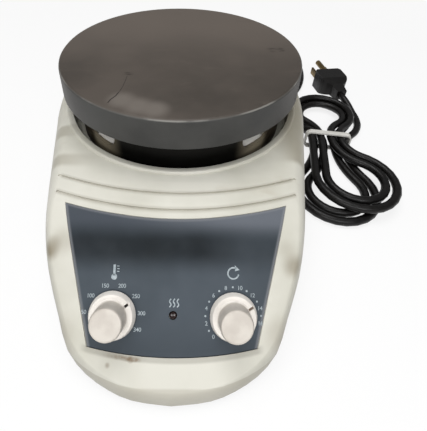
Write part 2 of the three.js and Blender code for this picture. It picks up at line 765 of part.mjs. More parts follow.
// Heat shield on the tub floor, and three standoffs between it and the clamp plate
const shieldRadius = 57.8;
const shieldThickness = 1.2;
const shieldHole = 6;
const shieldUnder = tubFloor + seatGap;
const shieldTop = shieldUnder + shieldThickness;
const spacerRadius = 4;
const spacerCircle = 50;
const spacerCount = 3;
const shield = bar(shieldRadius, shieldUnder, shieldTop, 0, 0, 64)
  .subtract(bar(shieldHole, shieldUnder - cutOver, shieldTop + cutOver, 0, 0, 24));
addPiece('heat_shield', shield, castAluminium, plateFrame);
for (let i = 0; i < spacerCount; i += 1) {
  const angle = i / spacerCount * round + Math.PI / 2;
  const spacer = addPiece(`plate_spacer_${i + 1}`,
    bar(spacerRadius, shieldTop + seatGap, clampUnder - seatGap, 0, 0, 20), brightSteel, plateFrame);
  spacer.position.set(spacerCircle * Math.cos(angle), spacerCircle * Math.sin(angle), 0);
}

// Stirring motor, hung from the tub floor, and the magnet rotor that it turns
const bracketThickness = 2;
const bracketLength = 112;
const bracketWidth = 36;
const motorRadius = 25;
const motorPanGap = 6.4;
const motorBoss = 8;
const motorShaftRadius = 3;
const yokeRadius = 31;
const yokeThickness = 3;
const hubRadius = 7;
const hubHeight = 4;
const rotorLift = 2;
const magnetRadius = 9;
const magnetHeight = 6.5;
const magnetOffset = 20;
const bracketTop = tubUnder - seatGap;
const bracketUnder = bracketTop - bracketThickness;
const motorTop = bracketUnder - seatGap;
const motorFoot = panTop + motorPanGap;
const motorHeight = motorTop - motorFoot;
const bossTop = bracketTop + motorShaftRadius;
const hubFoot = shieldTop + rotorLift;
const yokeFoot = hubFoot + hubHeight;
const yokeTop = yokeFoot + yokeThickness;
const motorShaftFoot = motorFoot + motorHeight / 3;
const motorShaftTop = yokeTop - 1;

const bracket = block(bracketLength, bracketWidth, bracketThickness, 0, 0, bracketTop - bracketThickness / 2)
  .subtract(bar(motorBoss + seatGap, bracketUnder - cutOver, bracketTop + cutOver, 0, 0, 24));
addPiece('motor_bracket', bracket, brightSteel, plateFrame);
const motor = bar(motorRadius, motorFoot, motorTop, 0, 0, 40)
  .add(bar(motorBoss, motorTop - 1, bossTop, 0, 0, 24))
  .subtract(bar(motorShaftRadius + seatGap, motorShaftFoot - seatGap, bossTop + cutOver, 0, 0, 24));
addPiece('stir_motor', motor, brightSteel, plateFrame);
addPiece('motor_shaft', bar(motorShaftRadius, motorShaftFoot, motorShaftTop, 0, 0, 24), brightSteel, plateFrame);
const yoke = bar(yokeRadius, yokeFoot, yokeTop, 0, 0, 48)
  .add(bar(hubRadius, hubFoot, yokeFoot + 1, 0, 0, 24))
  .subtract(bar(motorShaftRadius + seatGap, hubFoot - cutOver, motorShaftTop + seatGap, 0, 0, 24));
addPiece('magnet_yoke', yoke, darkSteel, plateFrame);
for (const [name, side] of [['left', -1], ['right', 1]]) {
  const magnet = bar(magnetRadius, yokeTop + seatGap, yokeTop + seatGap + magnetHeight, 0, 0, 24);
  addPiece(`drive_magnet_${name}`, magnet, magnetNickel, plateFrame).position.x = side * magnetOffset;
}

// Mains transformer on the pan, behind the motor
const coreWidth = 40;
const coreHeadroom = 13.7;
const coreBossGap = 0.8;
const coilRodGap = 0.5;
const coreDepth = 18;
const coreLeg = 14;
const windowSpan = 7;
const coreYoke = 6;
const coilDepth = 32;
const coreFoot = panTop + seatGap;
const coreHeight = deckZ - wall - coreHeadroom - coreFoot;
const windowRise = coreHeight - 2 * coreYoke;
const transformerX = -(screwPlaces[1][0] - bossRadius - coreBossGap - coreWidth / 2);
const transformerY = rodY - rodRadius - coilRodGap - coilDepth / 2;
const coreMiddle = coreFoot + coreHeight / 2;
const legEdge = coreLeg / 2;
let core = block(coreWidth, coreDepth, coreHeight, transformerX, transformerY, coreMiddle);
for (const side of [-1, 1]) {
  core = core.subtract(block(windowSpan, 2 * coreDepth, windowRise,
    transformerX + side * (legEdge + windowSpan / 2), transformerY, coreMiddle));
}
addPiece('transformer_core', core, darkSteel);
const coilHeight = windowRise - 2 * seatGap;
const coil = block(coreLeg + 2 * windowSpan - 2 * seatGap, coilDepth, coilHeight,
  transformerX, transformerY, coreMiddle)
  .subtract(block(coreLeg + 2 * seatGap, coreDepth + 2 * seatGap, 2 * coilHeight,
    transformerX, transformerY, coreMiddle));
addPiece('transformer_coil', coil, copperWire);

// Power switch in the back wall, with a rocker that tips about a cross axis
const bezelY = backY + seatGap;
const pocketWidth = rockerWidth + 2 * runGap;
const pocketHeight = 2 * (rockerHalf + 2 * runGap);
const switchBody = block(switchWidth + 2 * bezelBorder, bezelProud - seatGap, switchHeight + 2 * bezelBorder,
  switchX, (bezelY + backY + bezelProud) / 2, fittingZ)
  .add(block(switchWidth, switchDepth + bezelProud, switchHeight,
    switchX, backY + bezelProud - (switchDepth + bezelProud) / 2, fittingZ))
  .subtract(block(pocketWidth, 2 * rockerPocket, pocketHeight, switchX, backY + bezelProud, fittingZ));
addPiece('power_switch_body', switchBody, blackPlastic);

function makeRocker() {
  const shape = new THREE.Shape();
  const tipRise = 3.1;
  const dip = 1.7;
  const belly = 2.4;
  shape.moveTo(-rockerHalf, tipRise);
  shape.lineTo(-rockerHalf + 1, 0);
  shape.lineTo(0, -belly);
  shape.lineTo(rockerHalf - 1, 0);
  shape.lineTo(rockerHalf, tipRise);
  shape.quadraticCurveTo(0, dip - 1, -rockerHalf, tipRise);
  shape.closePath();
  const geometry = new THREE.ExtrudeGeometry(shape, {
    depth: rockerWidth, bevelEnabled: false, curveSegments: 8,
  });
  geometry.translate(0, 0, -rockerWidth / 2);
  // The sketch lies in its own x and y: x becomes height, y becomes the way out of the wall.
  const turnUp = new THREE.Matrix4().makeBasis(
    new THREE.Vector3(0, 0, 1), new THREE.Vector3(0, 1, 0), new THREE.Vector3(-1, 0, 0));
  return solidOf(geometry, turnUp);
}

const rockerPivotInset = 1.5;
const rocker = addPiece('power_rocker', makeRocker(), blackPlastic);
rocker.position.set(switchX, backY - rockerPivotInset, fittingZ);
rocker.rotation.x = THREE.MathUtils.degToRad(rockerTilt);

// Fuse holder with a bayonet cap
const fuseBody = rearBar(fuseRadius, backY - fuseLength, backY + seatGap + 0.1, 0, 0)
  .add(rearBar(fuseFlange, backY + seatGap, backY + fuseFlangeProud, 0, 0))
  .subtract(rearBar(fuseBore, backY - capStemDepth - seatGap, backY + cutOver, 0, 0, 24));
addPiece('fuse_holder', fuseBody, blackPlastic).position.set(fuseX, 0, fuseZ);
const capFace = backY + rearProud;
const slotWidth = 1.2;
const slotDepth = 0.8;
const fuseCap = rearBar(fuseBore - seatGap, backY - capStemDepth, backY + fuseFlangeProud + 2 * seatGap, 0, 0, 24)
  .add(rearBar(fuseRadius, backY + fuseFlangeProud + seatGap, capFace, 0, 0, 28))
  .subtract(block(1.6 * fuseRadius, 2 * slotDepth, slotWidth, 0, capFace, 0));
addPiece('fuse_cap', fuseCap, blackPlastic).position.set(fuseX, 0, fuseZ);

// Socket for a support rod, through the deck behind the plate
const rodTop = deckZ + seatGap + rodFlangeThickness;
const rodLength = rodTop - fuseZ - fuseRadius - rodFuseGap;
const rodBoreDepth = rodLength - rodFloor;
const rodSocket = bar(rodRadius, rodTop - rodLength, rodTop, 0, rodY)
  .add(bar(rodFlange, deckZ + seatGap, rodTop, 0, rodY))
  .subtract(bar(rodBore, rodTop - rodBoreDepth, rodTop + cutOver, 0, rodY, 32));
addPiece('rod_socket', rodSocket, brightSteel);

// Strain relief: a collar inside the wall and a tapered boot outside
const reliefEndY = backY + reliefLength;
const boot = turned([
  [0, -2 * wall], [reliefNeck + 1.6, -2 * wall], [reliefNeck + 1.6, -wall - 2 * seatGap],
  [reliefNeck, -wall - 2 * seatGap], [reliefNeck, seatGap], [reliefThick + 1, seatGap],
  [reliefThick + 1, seatGap + 2], [reliefThick, seatGap + 3], [reliefThin, reliefLength], [0, reliefLength],
], 24);
const relief = addPiece('strain_relief', boot, blackRubber);
relief.position.set(reliefX, backY, reliefZ);
relief.rotation.x = -Math.PI / 2;

// Mains lead. Points of the stretch from the strain relief to the hank, chosen by hand.
const cordRadius = cordDiameter / 2;
const leadRoute = [
  [26, 171, 15.6], [27.5, 180, 13.5], [33, 190, 9], [43, 198, 4.8], [56, 201.5, 2.9], [72, 201.5, 2.8],
  [88, 197, 2.8], [101, 188, 2.8], [110.5, 175, 2.8], [115, 159, 2.8], [115.3, 143, 2.8], [112.5, 127, 2.8],
  [107, 112, 2.8], [99.5, 99, 2.8], [92, 87, 2.8], [86, 75.5, 2.8], [83.3, 64, 2.8], [84.2, 55.2, 3.2],
  [86.9, 47.6, 4.8], [90.6, 41.9, 7.2], [94.3, 37.6, 9.2],
];

// Points of the short tail from the hank to the plug.
const tailRoute = [
  [124.7, 32, 3.6], [130.8, 37.2, 3], [137.4, 43.7, 2.8], [142, 52, 2.8], [143.7, 61, 2.8], [143.2, 70, 3.4],
  [141.4, 77.5, 6],
];

// Hank: loops that lie the same way, drawn in at the tie, spiral in on the bench and out again on top.
// Each lobe is three round bends: out from the waist, round its own end, and back to the waist.
const hankX = 109;
const hankY = 27;
const hankHeading = -8;
const hankPitch = cordDiameter * 1.26;
const hankLayer = cordDiameter * 1.12;
const hankWaist = hankPitch * 0.27;
const hankReverse = 1.5;
const hankFold = cordDiameter * 3.05;
const lowerFront = { reach: 48, aside: 0 };
const upperFront = { reach: 41, aside: -13 };
const rearLobe = { reach: 34.5, aside: 0 };
const foldShares = [0.25, 0.75];
const tieWidth = 4;
const tieThickness = 1.1;
const tieLift = tieThickness + seatGap;
const tieReach = 14;
const stepsPerLoop = 24;
const hankSides = 6;
const hankStart = 0.5 / stepsPerLoop;
const hankSteps = Math.floor(3.5 * stepsPerLoop - 1);
const hankEnd = hankStart + hankSteps / stepsPerLoop;

// One lobe's centre line, from the waist on one side to the waist on the other, as three arcs.
function lobeArcs({ reach, aside }) {
  const fold = new THREE.Vector2(reach, aside);
  const bend = (edge) => {
    const side = Math.sign(edge);
    const across = side * (edge - fold.y);
    const radius = (reach ** 2 + across ** 2 - hankFold ** 2) / (2 * (hankFold - across));
    const centre = new THREE.Vector2(0, edge + side * radius);
    const touch = centre.clone().lerp(fold, radius / (radius + hankFold));
    return { centre, radius, touch, side };
  };
  const first = bend(-hankWaist);
  const last = bend(hankWaist);
  const angleFrom = (centre, spot) => Math.atan2(spot.y - centre.y, spot.x - centre.x);
  const foldFrom = angleFrom(fold, first.touch);
  let foldSweep = angleFrom(fold, last.touch) - foldFrom;
  while (foldSweep < 0) foldSweep += round;
  const start = new THREE.Vector2(0, -hankWaist);
  const end = new THREE.Vector2(0, hankWaist);
  const sweepBetween = (centre, from, to) => {
    let sweep = angleFrom(centre, to) - angleFrom(centre, from);
    if (sweep > Math.PI) sweep -= round;
    if (sweep < -Math.PI) sweep += round;
    return sweep;
  };
  return [
    { centre: first.centre, from: start, sweep: sweepBetween(first.centre, start, first.touch) },
    { centre: fold, from: first.touch, sweep: foldSweep },
    { centre: last.centre, from: last.touch, sweep: sweepBetween(last.centre, last.touch, end) },
  ];
}

const lobes = { lower: lobeArcs(lowerFront), upper: lobeArcs(upperFront), rear: lobeArcs(rearLobe) };

// Place and outward direction at a share of the way round a lobe.
function alongLobe(arcs, share) {
  const edges = [0, ...foldShares, 1];
  const index = share < edges[1] ? 0 : share < edges[2] ? 1 : 2;
  const { centre, from, sweep } = arcs[index];
  const part = (share - edges[index]) / (edges[index + 1] - edges[index]);
  const arm = from.clone().sub(centre).rotateAround(new THREE.Vector2(), sweep * part);
  const out = arm.clone().normalize().multiplyScalar(Math.sign(sweep));
  return { spot: centre.clone().add(arm), out };
}

function hankPoint(turns) {
  const cycle = Math.floor(turns * 2);
  const share = turns * 2 - cycle;
  const front = cycle % 2 === 0;
  const arcs = front ? (turns < hankReverse ? lobes.lower : lobes.upper) : lobes.rear;
  const { spot, out } = alongLobe(arcs, share);
  // A rear lobe is the same sketch turned round, so that the cord runs on through the waist.
  const spiralStep = turns < hankReverse ? hankReverse - turns : Math.max(0, turns - hankReverse - 0.5);
  spot.addScaledVector(out, spiralStep * hankPitch);
  const ahead = front ? spot.x : -spot.x;
  const side = front ? -spot.y : spot.y;
  const climb = smooth((turns - hankReverse) / 0.5);
  const overTie = Math.exp(-((ahead / tieReach) ** 2));
  const flat = new THREE.Vector2(side, -ahead).rotateAround(
    new THREE.Vector2(), THREE.MathUtils.degToRad(hankHeading));
  return new THREE.Vector3(hankX + flat.x, hankY + flat.y,
    cordRadius * 1.02 + hankLayer * climb + tieLift * overTie);
}

// A round tube through a list of points, closed at both ends.
function tubeThrough(points, radius, sides) {
  const positions = [];
  const faces = [];
  let side = null;
  points.forEach((point, i) => {
    const before = points[Math.max(0, i - 1)];
    const after = points[Math.min(points.length - 1, i + 1)];
    const along = after.clone().sub(before).normalize();
    side = side ?? new THREE.Vector3(0, 0, 1);
    side = side.clone().addScaledVector(along, -side.dot(along)).normalize();
    const across = new THREE.Vector3().crossVectors(along, side);
    for (let k = 0; k < sides; k += 1) {
      const angle = (k + 0.5) / sides * round;
      const spot = point.clone().addScaledVector(side, radius * Math.cos(angle))
        .addScaledVector(across, radius * Math.sin(angle));
      positions.push(spot.x, spot.y, spot.z);
    }
  });
  for (let i = 0; i < points.length - 1; i += 1) {
    for (let k = 0; k < sides; k += 1) {
      const a = i * sides + k;
      const b = i * sides + (k + 1) % sides;
      faces.push(a, b, b + sides, a, b + sides, a + sides);
    }
  }
  const last = (points.length - 1) * sides;
  for (let k = 1; k < sides - 1; k += 1) {
    faces.push(0, k + 1, k, last, last + k, last + k + 1);
  }
  const geometry = new THREE.BufferGeometry();
  geometry.setAttribute('position', new THREE.BufferAttribute(new Float32Array(positions), 3));
  geometry.setIndex(faces);
  return geometry;
}

// The least clear gap of a tube to itself, measured on closely spaced points.
function leastGap(pointAt, start, end, diameter) {
  const count = 600;
  const points = [];
  for (let i = 0; i <= count; i += 1) points.push(pointAt(mix(start, end, i / count)));
  const travelled = [0];
  for (let i = 1; i <= count; i += 1) travelled.push(travelled[i - 1] + points[i].distanceTo(points[i - 1]));
  let least = Infinity;
  for (let i = 0; i <= count; i += 1) {
    for (let j = i + 1; j <= count; j += 1) {
      if (travelled[j] - travelled[i] > 4 * diameter) {
        least = Math.min(least, points[i].distanceTo(points[j]) - diameter);
      }
    }
  }
  return { least, length: travelled[count] };
}

const hankMeasure = leastGap(hankPoint, hankStart, hankEnd, cordDiameter);
console.log(`hank: ${hankMeasure.length.toFixed(0)} mm of cord, least gap ${hankMeasure.least.toFixed(2)} mm`);

const hankRoute = [];
for (let i = 0; i <= hankSteps; i += 1) hankRoute.push(hankPoint(hankStart + i / stepsPerLoop));

// Both ends of the hank run straight for one diameter.
function straightEnd(end, next) {
  const along = end.clone().sub(next).normalize();
  return end.clone().addScaledVector(along, cordDiameter);
}

const shortTurn = 0.002;
const hankIn = straightEnd(hankRoute[0], hankPoint(hankStart + shortTurn));
const hankOut = straightEnd(hankRoute[hankSteps], hankPoint(hankEnd - shortTurn));
const hankTube = tubeThrough([hankIn, ...hankRoute, hankOut], cordRadius, hankSides);
addPiece('cord_hank', solidOf(hankTube), cordPlastic);

// A free stretch of cord through hand-chosen points, as an extruded round section.
function freeCord(route, steps) {
  const section = new THREE.Shape();
  section.absarc(0, 0, cordRadius, 0, round, false);
  const geometry = new THREE.ExtrudeGeometry(section, {
    steps, bevelEnabled: false, curveSegments: 4, extrudePath: new THREE.CatmullRomCurve3(route),
  });
  return solidOf(geometry);
}

// The stretch meets a tube's end face to face: it stops short by the seat gap, in line with it.
function meet(end, next) {
  const along = end.clone().sub(next).normalize();
  const start = end.clone().addScaledVector(along, seatGap);
  return [start, start.clone().addScaledVector(along, cordDiameter)];
}

const reliefEnd = new THREE.Vector3(reliefX, reliefEndY + seatGap, reliefZ);
const leadPoints = leadRoute.map((spot) => new THREE.Vector3(...spot));
const leadEnd = meet(hankOut, hankRoute[hankSteps]);
const leadPath = [reliefEnd, ...leadPoints, leadEnd[1], leadEnd[0]];
addPiece('cord_lead', freeCord(leadPath, 44), cordPlastic);

// Plug at the far end, lying beside the lead
const plugLength = 34;
const plugWidth = 24;
const plugHeight = 16;
const plugNeck = 10;
const plugHeading = 8;
const plugX = 138.5;
const plugY = 89;
const bladeLength = 16;
const bladeWidth = 6.3;
const bladeThickness = 1.5;
const bladeSpacing = 12.7;
const earthRadius = 2.4;
const earthRise = 4;
const plugFrame = new THREE.Group();
plugFrame.position.set(plugX, plugY, plugHeight / 2);
plugFrame.rotation.z = THREE.MathUtils.degToRad(plugHeading);
plugFrame.updateMatrixWorld(true);
root.add(plugFrame);

function plugOutline() {
  const half = plugWidth / 2;
  const neck = cordRadius + 1.5;
  const shape = new THREE.Shape();
  shape.moveTo(-neck, 0);
  shape.lineTo(neck, 0);
  shape.lineTo(neck + 1, plugNeck);
  shape.quadraticCurveTo(half, plugNeck + 2, half, plugNeck + half);
  shape.lineTo(half, plugLength - 2);
  shape.lineTo(half - 2, plugLength);
  shape.lineTo(2 - half, plugLength);
  shape.lineTo(-half, plugLength - 2);
  shape.lineTo(-half, plugNeck + half);
  shape.quadraticCurveTo(-half, plugNeck + 2, -neck - 1, plugNeck);
  shape.closePath();
  return shape;
}

const plugCore = raised(plugOutline(), -plugHeight / 2, plugHeight / 2, 6);
const plugSide = new THREE.Shape([
  new THREE.Vector2(0, -cordRadius - 1.5), new THREE.Vector2(plugNeck, -cordRadius - 2.5),
  new THREE.Vector2(plugNeck + plugHeight / 2, -plugHeight / 2), new THREE.Vector2(plugLength, -plugHeight / 2),
  new THREE.Vector2(plugLength, plugHeight / 2), new THREE.Vector2(plugNeck + plugHeight / 2, plugHeight / 2),
  new THREE.Vector2(plugNeck, cordRadius + 2.5), new THREE.Vector2(0, cordRadius + 1.5),
]);
const plugSideGeometry = new THREE.ExtrudeGeometry(plugSide, { depth: 2 * plugWidth, bevelEnabled: false });
plugSideGeometry.translate(0, 0, -plugWidth);
const plugSideTurn = new THREE.Matrix4().makeBasis(
  new THREE.Vector3(0, 1, 0), new THREE.Vector3(0, 0, 1), new THREE.Vector3(1, 0, 0));
let plug = plugCore.intersect(solidOf(plugSideGeometry, plugSideTurn));
const pinSocket = 4;
const pinPlaces = [[-bladeSpacing / 2, -earthRise / 2], [bladeSpacing / 2, -earthRise / 2]];
for (const [x, z] of pinPlaces) {
  plug = plug.subtract(block(bladeThickness + 2 * seatGap, 2 * pinSocket, bladeWidth + 2 * seatGap,
    x, plugLength, z));
}
plug = plug.subtract(rearBar(earthRadius + seatGap, plugLength - pinSocket, plugLength + pinSocket,
  0, earthRise, 16));
addPiece('plug_body', plug, cordPlastic, plugFrame);
const pinFoot = plugLength - pinSocket + seatGap;
pinPlaces.forEach(([x, z], i) => {
  const blade = block(bladeThickness, bladeLength + pinSocket, bladeWidth,
    x, pinFoot + (bladeLength + pinSocket) / 2, z);
  addPiece(`plug_blade_${i + 1}`, blade, brassMetal, plugFrame);
});
addPiece('plug_earth_pin', rearBar(earthRadius, pinFoot, pinFoot + bladeLength + 2 * pinSocket, 0, earthRise, 16),
  brassMetal, plugFrame);

// Short tail from the hank to the plug
const tailStart = meet(hankIn, hankRoute[0]);
const plugMouth = new THREE.Vector3(0, -seatGap, 0).applyMatrix4(plugFrame.matrixWorld);
const plugLine = new THREE.Vector3(0, -seatGap - cordDiameter, 0).applyMatrix4(plugFrame.matrixWorld);
const tailPoints = tailRoute.map((spot) => new THREE.Vector3(...spot));
addPiece('cord_tail', freeCord([...tailStart, ...tailPoints, plugLine, plugMouth], 16), cordPlastic);

// Tie round the hank's waist
const tieHalf = hankWaist + hankPitch * 1.5 + cordRadius + seatGap + tieThickness;
const tieHigh = tieLift + hankLayer + cordDiameter + seatGap + tieThickness;
function tieShape(inset) {
  const half = tieHalf - inset;
  const corner = cordRadius + tieThickness - inset;
  const low = inset;
  const high = tieHigh - inset;
  const shape = new THREE.Shape();
  shape.absarc(half - corner, low + corner, corner, -Math.PI / 2, 0, false);
  shape.absarc(half - corner, high - corner, corner, 0, Math.PI / 2, false);
  shape.absarc(-half + corner, high - corner, corner, Math.PI / 2, Math.PI, false);
  shape.absarc(-half + corner, low + corner, corner, Math.PI, 1.5 * Math.PI, false);
  shape.closePath();
  return shape;
}
const tie = raised(tieShape(0), -tieWidth / 2, tieWidth / 2, 5)
  .subtract(raised(tieShape(tieThickness), -tieWidth, tieWidth, 5));
const tiePiece = addPiece('cord_tie', tie, paleTie);
tiePiece.position.set(hankX, hankY, 0);
tiePiece.rotation.order = 'ZXY';
tiePiece.rotation.set(Math.PI / 2, 0, THREE.MathUtils.degToRad(hankHeading));

root.updateMatrixWorld(true);

export default root;
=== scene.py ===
# %% [markdown]
# # A bench hotplate stirrer
# The object is a round heated plate on a windowed drum, over a moulded cream housing with a sloping control
# panel. Its exact solids come in as a fixed frame. This lesson adds what the solids lack: finishes, the
# printed dials, the mains lead and the light.

# %% Load the frame
import json
import math

import bmesh
import bpy
from mathutils import Matrix, Vector


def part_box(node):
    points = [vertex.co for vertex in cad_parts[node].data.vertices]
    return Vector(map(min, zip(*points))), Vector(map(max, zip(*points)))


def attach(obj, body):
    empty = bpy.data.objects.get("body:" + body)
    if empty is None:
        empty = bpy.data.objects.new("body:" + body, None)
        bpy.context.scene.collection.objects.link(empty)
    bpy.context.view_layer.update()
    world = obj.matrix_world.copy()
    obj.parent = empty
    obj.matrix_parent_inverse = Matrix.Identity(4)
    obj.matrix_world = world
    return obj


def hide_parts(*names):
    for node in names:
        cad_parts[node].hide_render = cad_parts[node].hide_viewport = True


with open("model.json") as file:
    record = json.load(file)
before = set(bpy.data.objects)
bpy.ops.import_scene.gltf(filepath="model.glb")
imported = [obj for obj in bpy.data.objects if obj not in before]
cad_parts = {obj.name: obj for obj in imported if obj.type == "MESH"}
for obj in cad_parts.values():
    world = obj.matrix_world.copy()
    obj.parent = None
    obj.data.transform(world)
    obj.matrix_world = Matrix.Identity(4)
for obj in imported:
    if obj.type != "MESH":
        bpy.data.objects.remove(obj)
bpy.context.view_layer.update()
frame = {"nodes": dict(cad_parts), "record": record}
MM = 0.001

# %% [markdown]
# A photograph is matched by a camera of the same place, tilt and angle of view, worked out from the
# plate's ellipse and the housing's silhouette. The sensor is fitted to the picture's height, and the shift
# puts the optical axis where the crop of the photograph left it.

# %% Camera
PHOTO_WIDTH = 427
PHOTO_HEIGHT = 431
FOCAL_PIXELS = 350
OPTICAL_CENTRE = (193.8, 153.5)
CAMERA_PLACE = Vector((0.0062, -0.1776, 0.1740))
YAW_PITCH_ROLL = (0.0119, 0.7293, -0.0261)
SENSOR = 36


def show(name, data):
    """A new object that carries the data, put into the scene."""
    thing = bpy.data.objects.new(name, data)
    bpy.context.scene.collection.objects.link(thing)
    return thing


def camera_turn(yaw, pitch, roll):
    """The camera's axes from its heading, its tilt downwards and its roll."""
    forward = Vector((math.sin(yaw) * math.cos(pitch), math.cos(yaw) * math.cos(pitch), -math.sin(pitch)))
    level_right = Vector((math.cos(yaw), -math.sin(yaw), 0))
    level_down = forward.cross(level_right)
    right = level_right * math.cos(roll) + level_down * math.sin(roll)
    down = level_down * math.cos(roll) - level_right * math.sin(roll)
    return Matrix((right, -down, -forward)).transposed().to_4x4()


eye = bpy.data.cameras.new("photo_camera")
eye.sensor_fit = "VERTICAL"
eye.sensor_height = SENSOR
eye.lens = FOCAL_PIXELS / PHOTO_HEIGHT * SENSOR
eye.shift_x = (PHOTO_WIDTH / 2 - OPTICAL_CENTRE[0]) / PHOTO_HEIGHT
eye.shift_y = (OPTICAL_CENTRE[1] - PHOTO_HEIGHT / 2) / PHOTO_HEIGHT
eye.clip_start = 0.01
camera = show("photo_camera", eye)
camera.matrix_world = Matrix.Translation(CAMERA_PLACE) @ camera_turn(*YAW_PITCH_ROLL)
bpy.context.scene.camera = camera
print("lens", round(eye.lens, 2), "mm, shift", round(eye.shift_x, 3), round(eye.shift_y, 3))

# %% [markdown]
# The mains lead is one length of round black cord. It leaves the boot at the back, drops to the bench, runs
# round to the right side, lies there in a tied hank and ends in its plug. A poly curve with a round bevel
# is the simplest tube that follows an exact path. The free stretches pass through listed points, and the
# hank's loops come from the same three-arc lobes as the solid that they replace. The points carry the
# cord's radius, because Blender counts it into the curve's own box.

# %% Sizes of the lead and its hank
CORD_DIAMETER = 5.5
CORD_RADIUS = CORD_DIAMETER / 2
BOOT_END = (26, 164.5, 16)
LEAD_ROUTE = [
    (26, 171, 15.6), (27.5, 180, 13.5), (33, 190, 9), (43, 198, 4.8), (56, 201.5, 2.9), (72, 201.5, 2.8),
    (88, 197, 2.8), (101, 188, 2.8), (110.5, 175, 2.8), (115, 159, 2.8), (115.3, 143, 2.8), (112.5, 127, 2.8),
    (107, 112, 2.8), (99.5, 99, 2.8), (92, 87, 2.8), (86, 75.5, 2.8), (83.3, 64, 2.8), (84.2, 55.2, 3.2),
    (86.9, 47.6, 4.8), (90.6, 41.9, 7.2), (94.3, 37.6, 9.2),
]
TAIL_ROUTE = [
    (124.7, 32, 3.6), (130.8, 37.2, 3), (137.4, 43.7, 2.8), (142, 52, 2.8), (143.7, 61, 2.8),
    (143.2, 70, 3.4), (141.4, 77.5, 6),
]
HANK_X = 109
HANK_Y = 27
HANK_HEADING = math.radians(-8)
HANK_PITCH = CORD_DIAMETER * 1.26
HANK_LAYER = CORD_DIAMETER * 1.12
HANK_WAIST = HANK_PITCH * 0.27
HANK_REVERSE = 1.5
HANK_FOLD = CORD_DIAMETER * 3.05
LOWER_FRONT = (48, 0)
UPPER_FRONT = (41, -13)
REAR_LOBE = (34.5, 0)
FOLD_SHARES = (0.25, 0.75)
TIE_LIFT = 1.4
TIE_REACH = 14
SOLID_STEP = 1 / 24
SOLID_STEPS = 83
HANK_START = SOLID_STEP / 2
HANK_END = HANK_START + SOLID_STEPS * SOLID_STEP
SEAT_GAP = 0.3
PLUG_PLACE = (138.5, 89, 8)
PLUG_HEADING = math.radians(8)
print("points chosen by hand:", len(LEAD_ROUTE) + len(TAIL_ROUTE))

# %% [markdown]
# Each lobe of a hank bends outwards from the waist, round its own end and back to the waist. Three arcs that
# touch without a kink describe it, and a constant distance from them gives the next loop of the spiral.

# %% Lobes of the hank


def signed_turn(centre, start, end):
    """The smaller turn, in radians, from start to end about centre."""
    turn = math.atan2(end.y - centre.y, end.x - centre.x) - math.atan2(start.y - centre.y, start.x - centre.x)
    return (turn + math.pi) % math.tau - math.pi


def lobe_arcs(reach, aside):
    """Centre, start and sweep of a lobe's three arcs, in millimetres from the waist."""
    fold = Vector((reach, aside))
    bends = []
    for edge in (-HANK_WAIST, HANK_WAIST):
        side = math.copysign(1, edge)
        across = side * (edge - fold.y)
        radius = (reach**2 + across**2 - HANK_FOLD**2) / (2 * (HANK_FOLD - across))
        centre = Vector((0, edge + side * radius))
        bends.append((centre, centre.lerp(fold, radius / (radius + HANK_FOLD))))
    (first, touch_in), (last, touch_out) = bends
    start = Vector((0, -HANK_WAIST))
    end = Vector((0, HANK_WAIST))
    round_the_end = signed_turn(fold, touch_in, touch_out) % math.tau
    return [
        (first, start, signed_turn(first, start, touch_in)),
        (fold, touch_in, round_the_end),
        (last, touch_out, signed_turn(last, touch_out, end)),
    ]


def turned(vector, angle):
    return Vector((
        vector.x * math.cos(angle) - vector.y * math.sin(angle),
        vector.x * math.sin(angle) + vector.y * math.cos(angle),
    ))


def along_lobe(arcs, share):
    """A place on the lobe and the direction outwards, at a share of the way round it."""
    edges = (0, *FOLD_SHARES, 1)
    index = 0 if share < edges[1] else 1 if share < edges[2] else 2
    centre, start, sweep = arcs[index]
    part = (share - edges[index]) / (edges[index + 1] - edges[index])
    arm = turned(start - centre, sweep * part)
    return centre + arm, arm.normalized() * math.copysign(1, sweep)


LOBES = {"lower": lobe_arcs(*LOWER_FRONT), "upper": lobe_arcs(*UPPER_FRONT), "rear": lobe_arcs(*REAR_LOBE)}
print("arcs in each lobe:", {name: len(arcs) for name, arcs in LOBES.items()})

# %% The hank's path


def eased(value):
    value = min(1, max(0, value))
    return value * value * (3 - 2 * value)


def hank_point(turns):
    """A point of the hank, in millimetres, after a number of turns: in on the bench, out again on top."""
    cycle = math.floor(turns * 2)
    front = cycle % 2 == 0
    front_lobe = "lower" if turns < HANK_REVERSE else "upper"
    spot, out = along_lobe(LOBES[front_lobe if front else "rear"], turns * 2 - cycle)
    step = HANK_REVERSE - turns if turns < HANK_REVERSE else max(0, turns - HANK_REVERSE - 0.5)
    spot = spot + out * step * HANK_PITCH
    ahead = spot.x if front else -spot.x
    side = -spot.y if front else spot.y
    climb = eased((turns - HANK_REVERSE) / 0.5)
    over_tie = math.exp(-((ahead / TIE_REACH) ** 2))
    flat = turned(Vector((side, -ahead)), HANK_HEADING)
    height = CORD_RADIUS * 1.02 + HANK_LAYER * climb + TIE_LIFT * over_tie
    return Vector((HANK_X + flat.x, HANK_Y + flat.y, height))


def smooth_through(points, steps=8):
    """Points of a smooth curve through the given ones, with even speed along uneven spacing."""
    points = [Vector(p) for p in points]
    padded = [points[0] * 2 - points[1], *points, points[-1] * 2 - points[-2]]
    out = []
    for before, here, there, after in zip(padded, padded[1:], padded[2:], padded[3:]):
        gaps = [max((b - a).length**0.5, 1e-4) for a, b in ((before, here), (here, there), (there, after))]
        leave = (here - before) / gaps[0] - (there - before) / (gaps[0] + gaps[1]) + (there - here) / gaps[1]
        arrive = (there - here) / gaps[1] - (after - here) / (gaps[1] + gaps[2]) + (after - there) / gaps[2]
        leave *= gaps[1]
        arrive *= gaps[1]
        for i in range(steps):
            t = i / steps
            out.append(here + leave * t + (there * 3 - here * 3 - leave * 2 - arrive) * t**2
                       + (here * 2 - there * 2 + leave + arrive) * t**3)
    return [*out, points[-1]]


